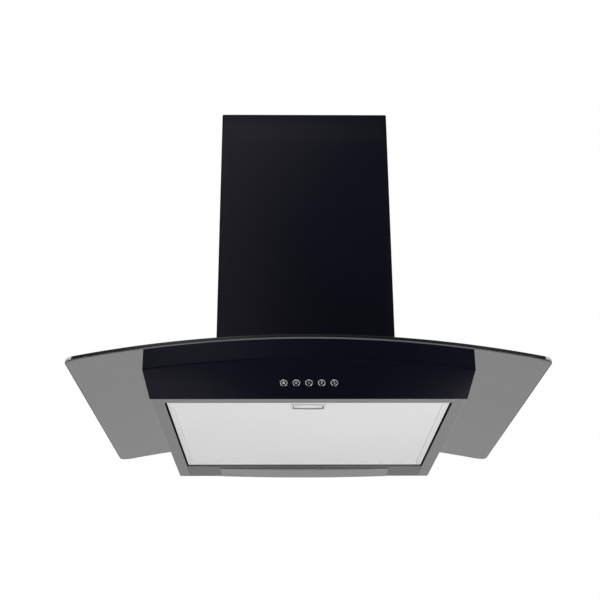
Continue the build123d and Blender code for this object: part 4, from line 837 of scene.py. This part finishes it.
def ring_patch():
    """Rings from a button's hole to the square of the grid round it, in shares of the way."""
    half_pitch = 0.5 * BUTTON_PITCH
    step = np.linspace(-half_pitch, half_pitch, CELLS + 1)[:-1]
    side = np.full(CELLS, half_pitch)
    square = np.concatenate([np.column_stack([side, step]), np.column_stack([-step, side]),
                             np.column_stack([-side, -step]), np.column_stack([step, -side])])
    circle = BUTTON_HOLE * square / np.linalg.norm(square, axis=1)[:, None]
    share = np.linspace(0.0, 1.0, PATCH_RINGS)[:, None, None]
    return circle[None] * (1.0 - share) + square[None] * share


def fascia():
    """The front panel: outer and inner faces in one loop, with round button holes in its slope.

    The grid is left open where the buttons are, and a patch of rings fills it round each hole.
    """
    slope_length = fascia_length(0.0)
    zone = 0.5 * len(BUTTONS) * BUTTON_PITCH
    zone_cells = len(BUTTONS) * CELLS
    zone_high = BUTTON_UP_FACE + 0.5 * BUTTON_PITCH
    zone_low = BUTTON_UP_FACE - 0.5 * BUTTON_PITCH
    outer_share = np.linspace(0.0, 1.0, SIDE_COLUMNS + 1)[1:]
    middle = np.linspace(-zone, zone, zone_cells + 1)
    columns = np.concatenate([np.full(SIDE_COLUMNS, -zone), middle,
                              np.full(SIDE_COLUMNS, zone)])
    reach = np.concatenate([-outer_share[::-1], np.zeros(len(middle)), outer_share])
    fixed_drop = np.concatenate([np.linspace(0.0, 1.0, BEND_ROWS + 1)[:-1],
                                 np.linspace(1.0, 2.0, BEND_ROWS + 1)[:-1]])
    up_slope = np.concatenate([
        np.linspace(slope_length - FASCIA_BEND, zone_high, SLOPE_ROWS + 1)[:-1],
        np.linspace(zone_high, zone_low, CELLS + 1),
        np.linspace(zone_low, 0.0, SLOPE_ROWS + 1)[1:]])
    outer, inner = (sheet_face(columns, reach, fixed_drop, up_slope, depth)
                    for depth in (0.0, FASCIA_SHEET))
    foot = inner[-1].copy()
    foot[:, 1] = FASCIA_FOOT + FASCIA_SHEET * slope_length / (fold_height(0.0) - UNDERSIDE)
    foot[:, 2] = UNDERSIDE
    loop = np.concatenate([outer, foot[None], inner[::-1]])
    zone_top = len(fixed_drop) + SLOPE_ROWS
    mirrored = len(loop) - 1 - zone_top
    skip = np.zeros((len(loop), loop.shape[1] - 1), bool)
    for start in (zone_top, mirrored - CELLS):
        skip[start:start + CELLS, SIDE_COLUMNS:SIDE_COLUMNS + zone_cells] = True
    shell = Shell()
    shell.grid(loop, wrap_rows=True, skip=skip)
    shell.disc(loop[:, 0])
    shell.disc(loop[:, -1])
    patch = ring_patch()
    for place in range(len(BUTTONS)):
        x = patch[:, :, 0] + button_shift(place)
        drop = slope_drop(x, BUTTON_UP_FACE + patch[:, :, 1])
        faces = []
        for depth in (0.0, FASCIA_SHEET):
            y, z = fascia_point(x, drop, depth)
            faces.append(np.dstack([x, y, z]))
            shell.grid(faces[-1], wrap_columns=True)
        shell.grid([faces[0][0], faces[1][0]], wrap_columns=True)
    add_piece("fascia_panel", shell.mesh("fascia panel"), "front_fascia",
              round_off=FASCIA_CREASE)


# ---------------------------------------------------------------- buttons

BUTTON_RADIUS = 0.0045
BUTTON_STAND = 0.0024    # how far a button stands out of the slope
BUTTON_ROUND = 0.00075
DISH_RADIUS = 0.0031
DISH_DEPTH = 0.0006
DISH_FLOOR = BUTTON_STAND - DISH_DEPTH
DISH_FLAT = 0.0012       # radius of the flat middle
DISH_ROUND = 0.0004
RIM_ROUND = 0.00025
DARK_RADIUS = 0.0037     # of the dark finish, which goes on over the dish's rim
FLANGE_RADIUS = 0.0056
FLANGE_BACK = -0.00275
FLANGE_FRONT = -0.00175
STEM_RADIUS = 0.002
TURN_STEPS = 48
MARK_RAISE = 0.00009     # height of a mark over the dish's floor
MARK_STROKE = 0.0005     # width of a mark's lines
MARK_SIZE = 0.0013       # of one unit in the marks' drawings
RIGHT = np.array([1.0, 0.0, 0.0])


def button_axes():
    """The slope at its middle: where the buttons stand, the way up the face and the way out."""
    run, fall = FASCIA_FOOT - FASCIA_FRONT, fold_height(0.0) - UNDERSIDE
    length = fascia_length(0.0)
    up = np.array([0.0, -run / length, fall / length])
    out = np.array([0.0, -fall / length, -run / length])
    foot = np.array([0.0, FASCIA_FOOT, UNDERSIDE])
    return foot + BUTTON_UP_FACE * up, up, out


def turned(name, profile, centre, axis, side):
    """A surface of revolution: pairs of radius and height carried round an axis, and closed."""
    profile = np.asarray(profile, float)
    angle = np.linspace(0.0, 2.0 * pi, TURN_STEPS, endpoint=False)
    ring = np.cos(angle)[:, None] * side + np.sin(angle)[:, None] * np.cross(axis, side)
    points = (centre + profile[:, 0, None, None] * ring[None]
              + profile[:, 1, None, None] * axis[None, None])
    shell = Shell()
    shell.grid(points, wrap_columns=True)
    shell.disc(points[0])
    shell.disc(points[-1])
    return shell.mesh(name)


def arc_of(centre, radius, start, end, steps):
    """Points of a round arc in a flat drawing, from one angle in degrees to another."""
    angle = np.radians(np.linspace(start, end, steps))
    return np.column_stack([centre[0] + radius * np.cos(angle),
                            centre[1] + radius * np.sin(angle)])


def button_profile():
    """From the middle of the dish over the rounded rim, down the side, to the flange and stem."""
    low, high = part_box("push_button_1")
    stem_end = -0.5 * (high - low).y
    return np.concatenate([
        [[DISH_FLAT, DISH_FLOOR]],
        arc_of((DISH_RADIUS - DISH_ROUND, DISH_FLOOR + DISH_ROUND), DISH_ROUND,
               270, 360, steps=6),
        arc_of((DISH_RADIUS + RIM_ROUND, BUTTON_STAND - RIM_ROUND), RIM_ROUND,
               180, 90, steps=5),
        arc_of((BUTTON_RADIUS - BUTTON_ROUND, BUTTON_STAND - BUTTON_ROUND), BUTTON_ROUND,
               90, 0, steps=9),
        [[BUTTON_RADIUS, FLANGE_FRONT], [FLANGE_RADIUS, FLANGE_FRONT],
         [FLANGE_RADIUS, FLANGE_BACK], [STEM_RADIUS, FLANGE_BACK], [STEM_RADIUS, stem_end]]])


def mark_strokes():
    """Line drawings about their own middle, one list of strokes for each button."""
    ring = arc_of((0.0, 0.0), 1.0, 0, 360, steps=33)
    diagonal = np.array([[-0.7, -0.7], [0.7, 0.7]])
    lamp = [ring, diagonal, diagonal * [1.0, -1.0]]
    nought = [ring * [0.7, 1.1]]
    one = [np.array([[-0.55, 0.55], [0.1, 1.1], [0.1, -1.1]])]
    two = [np.concatenate([arc_of((0.0, 0.5), 0.6, 160, -40, steps=13),
                           [[-0.65, -1.1], [0.7, -1.1]]])]
    three = [np.concatenate([arc_of((0.0, 0.55), 0.55, 150, -85, steps=13),
                             arc_of((0.0, -0.55), 0.6, 85, -150, steps=13)])]
    return [lamp, nought, one, two, three]


def stroke(path, centre, side, up, out):
    """A raised line: a flat rectangle carried along a path, square to it."""
    ahead = np.gradient(path, axis=0)
    ahead /= np.linalg.norm(ahead, axis=1)[:, None]
    across = np.column_stack([-ahead[:, 1], ahead[:, 0]]) * 0.5 * MARK_STROKE
    flat = path * MARK_SIZE
    left, right = flat + across, flat - across
    rows = []
    for edge, height in ((left, 0.0), (left, MARK_RAISE), (right, MARK_RAISE), (right, 0.0)):
        rows.append(centre + edge[:, :1] * side + edge[:, 1:] * up + height * out)
    return np.array(rows)


def buttons():
    """Five dished caps with a raised mark in each: a lamp sign and plain numbers."""
    middle, up, out = button_axes()
    profile = button_profile()
    for place, (node, strokes) in enumerate(zip(BUTTONS, mark_strokes())):
        centre = middle + button_shift(place) * RIGHT
        cap = add_piece(node + "_cap", turned(node + " cap", profile, centre, out, RIGHT), node)
        away = faces_of(cap)[1] - centre
        in_front = away @ out > 0.5 * DISH_FLOOR
        radius = np.hypot(away @ RIGHT, away @ up)
        second_finish(cap, "button_dish", (radius < DARK_RADIUS) & in_front)
        shell = Shell()
        for path in strokes:
            rows = stroke(path, centre + DISH_FLOOR * out, RIGHT, up, out)
            shell.grid(rows, wrap_rows=True)
            shell.disc(rows[:, 0])
            shell.disc(rows[:, -1])
        mark = bpy.data.objects.new(node + "_mark", shell.mesh(node + " mark"))
        bpy.context.scene.collection.objects.link(mark)
        mark.data.materials.append(MATERIALS["grey_plastic"])
        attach(mark, BODY_OF[node])


place_camera()
light_scene()
lay_floor()
dress_nodes()
soften_sheet_metal()
canopy()
chimneys()
fascia()
buttons()

bpy.context.scene.view_settings.view_transform = "Standard"
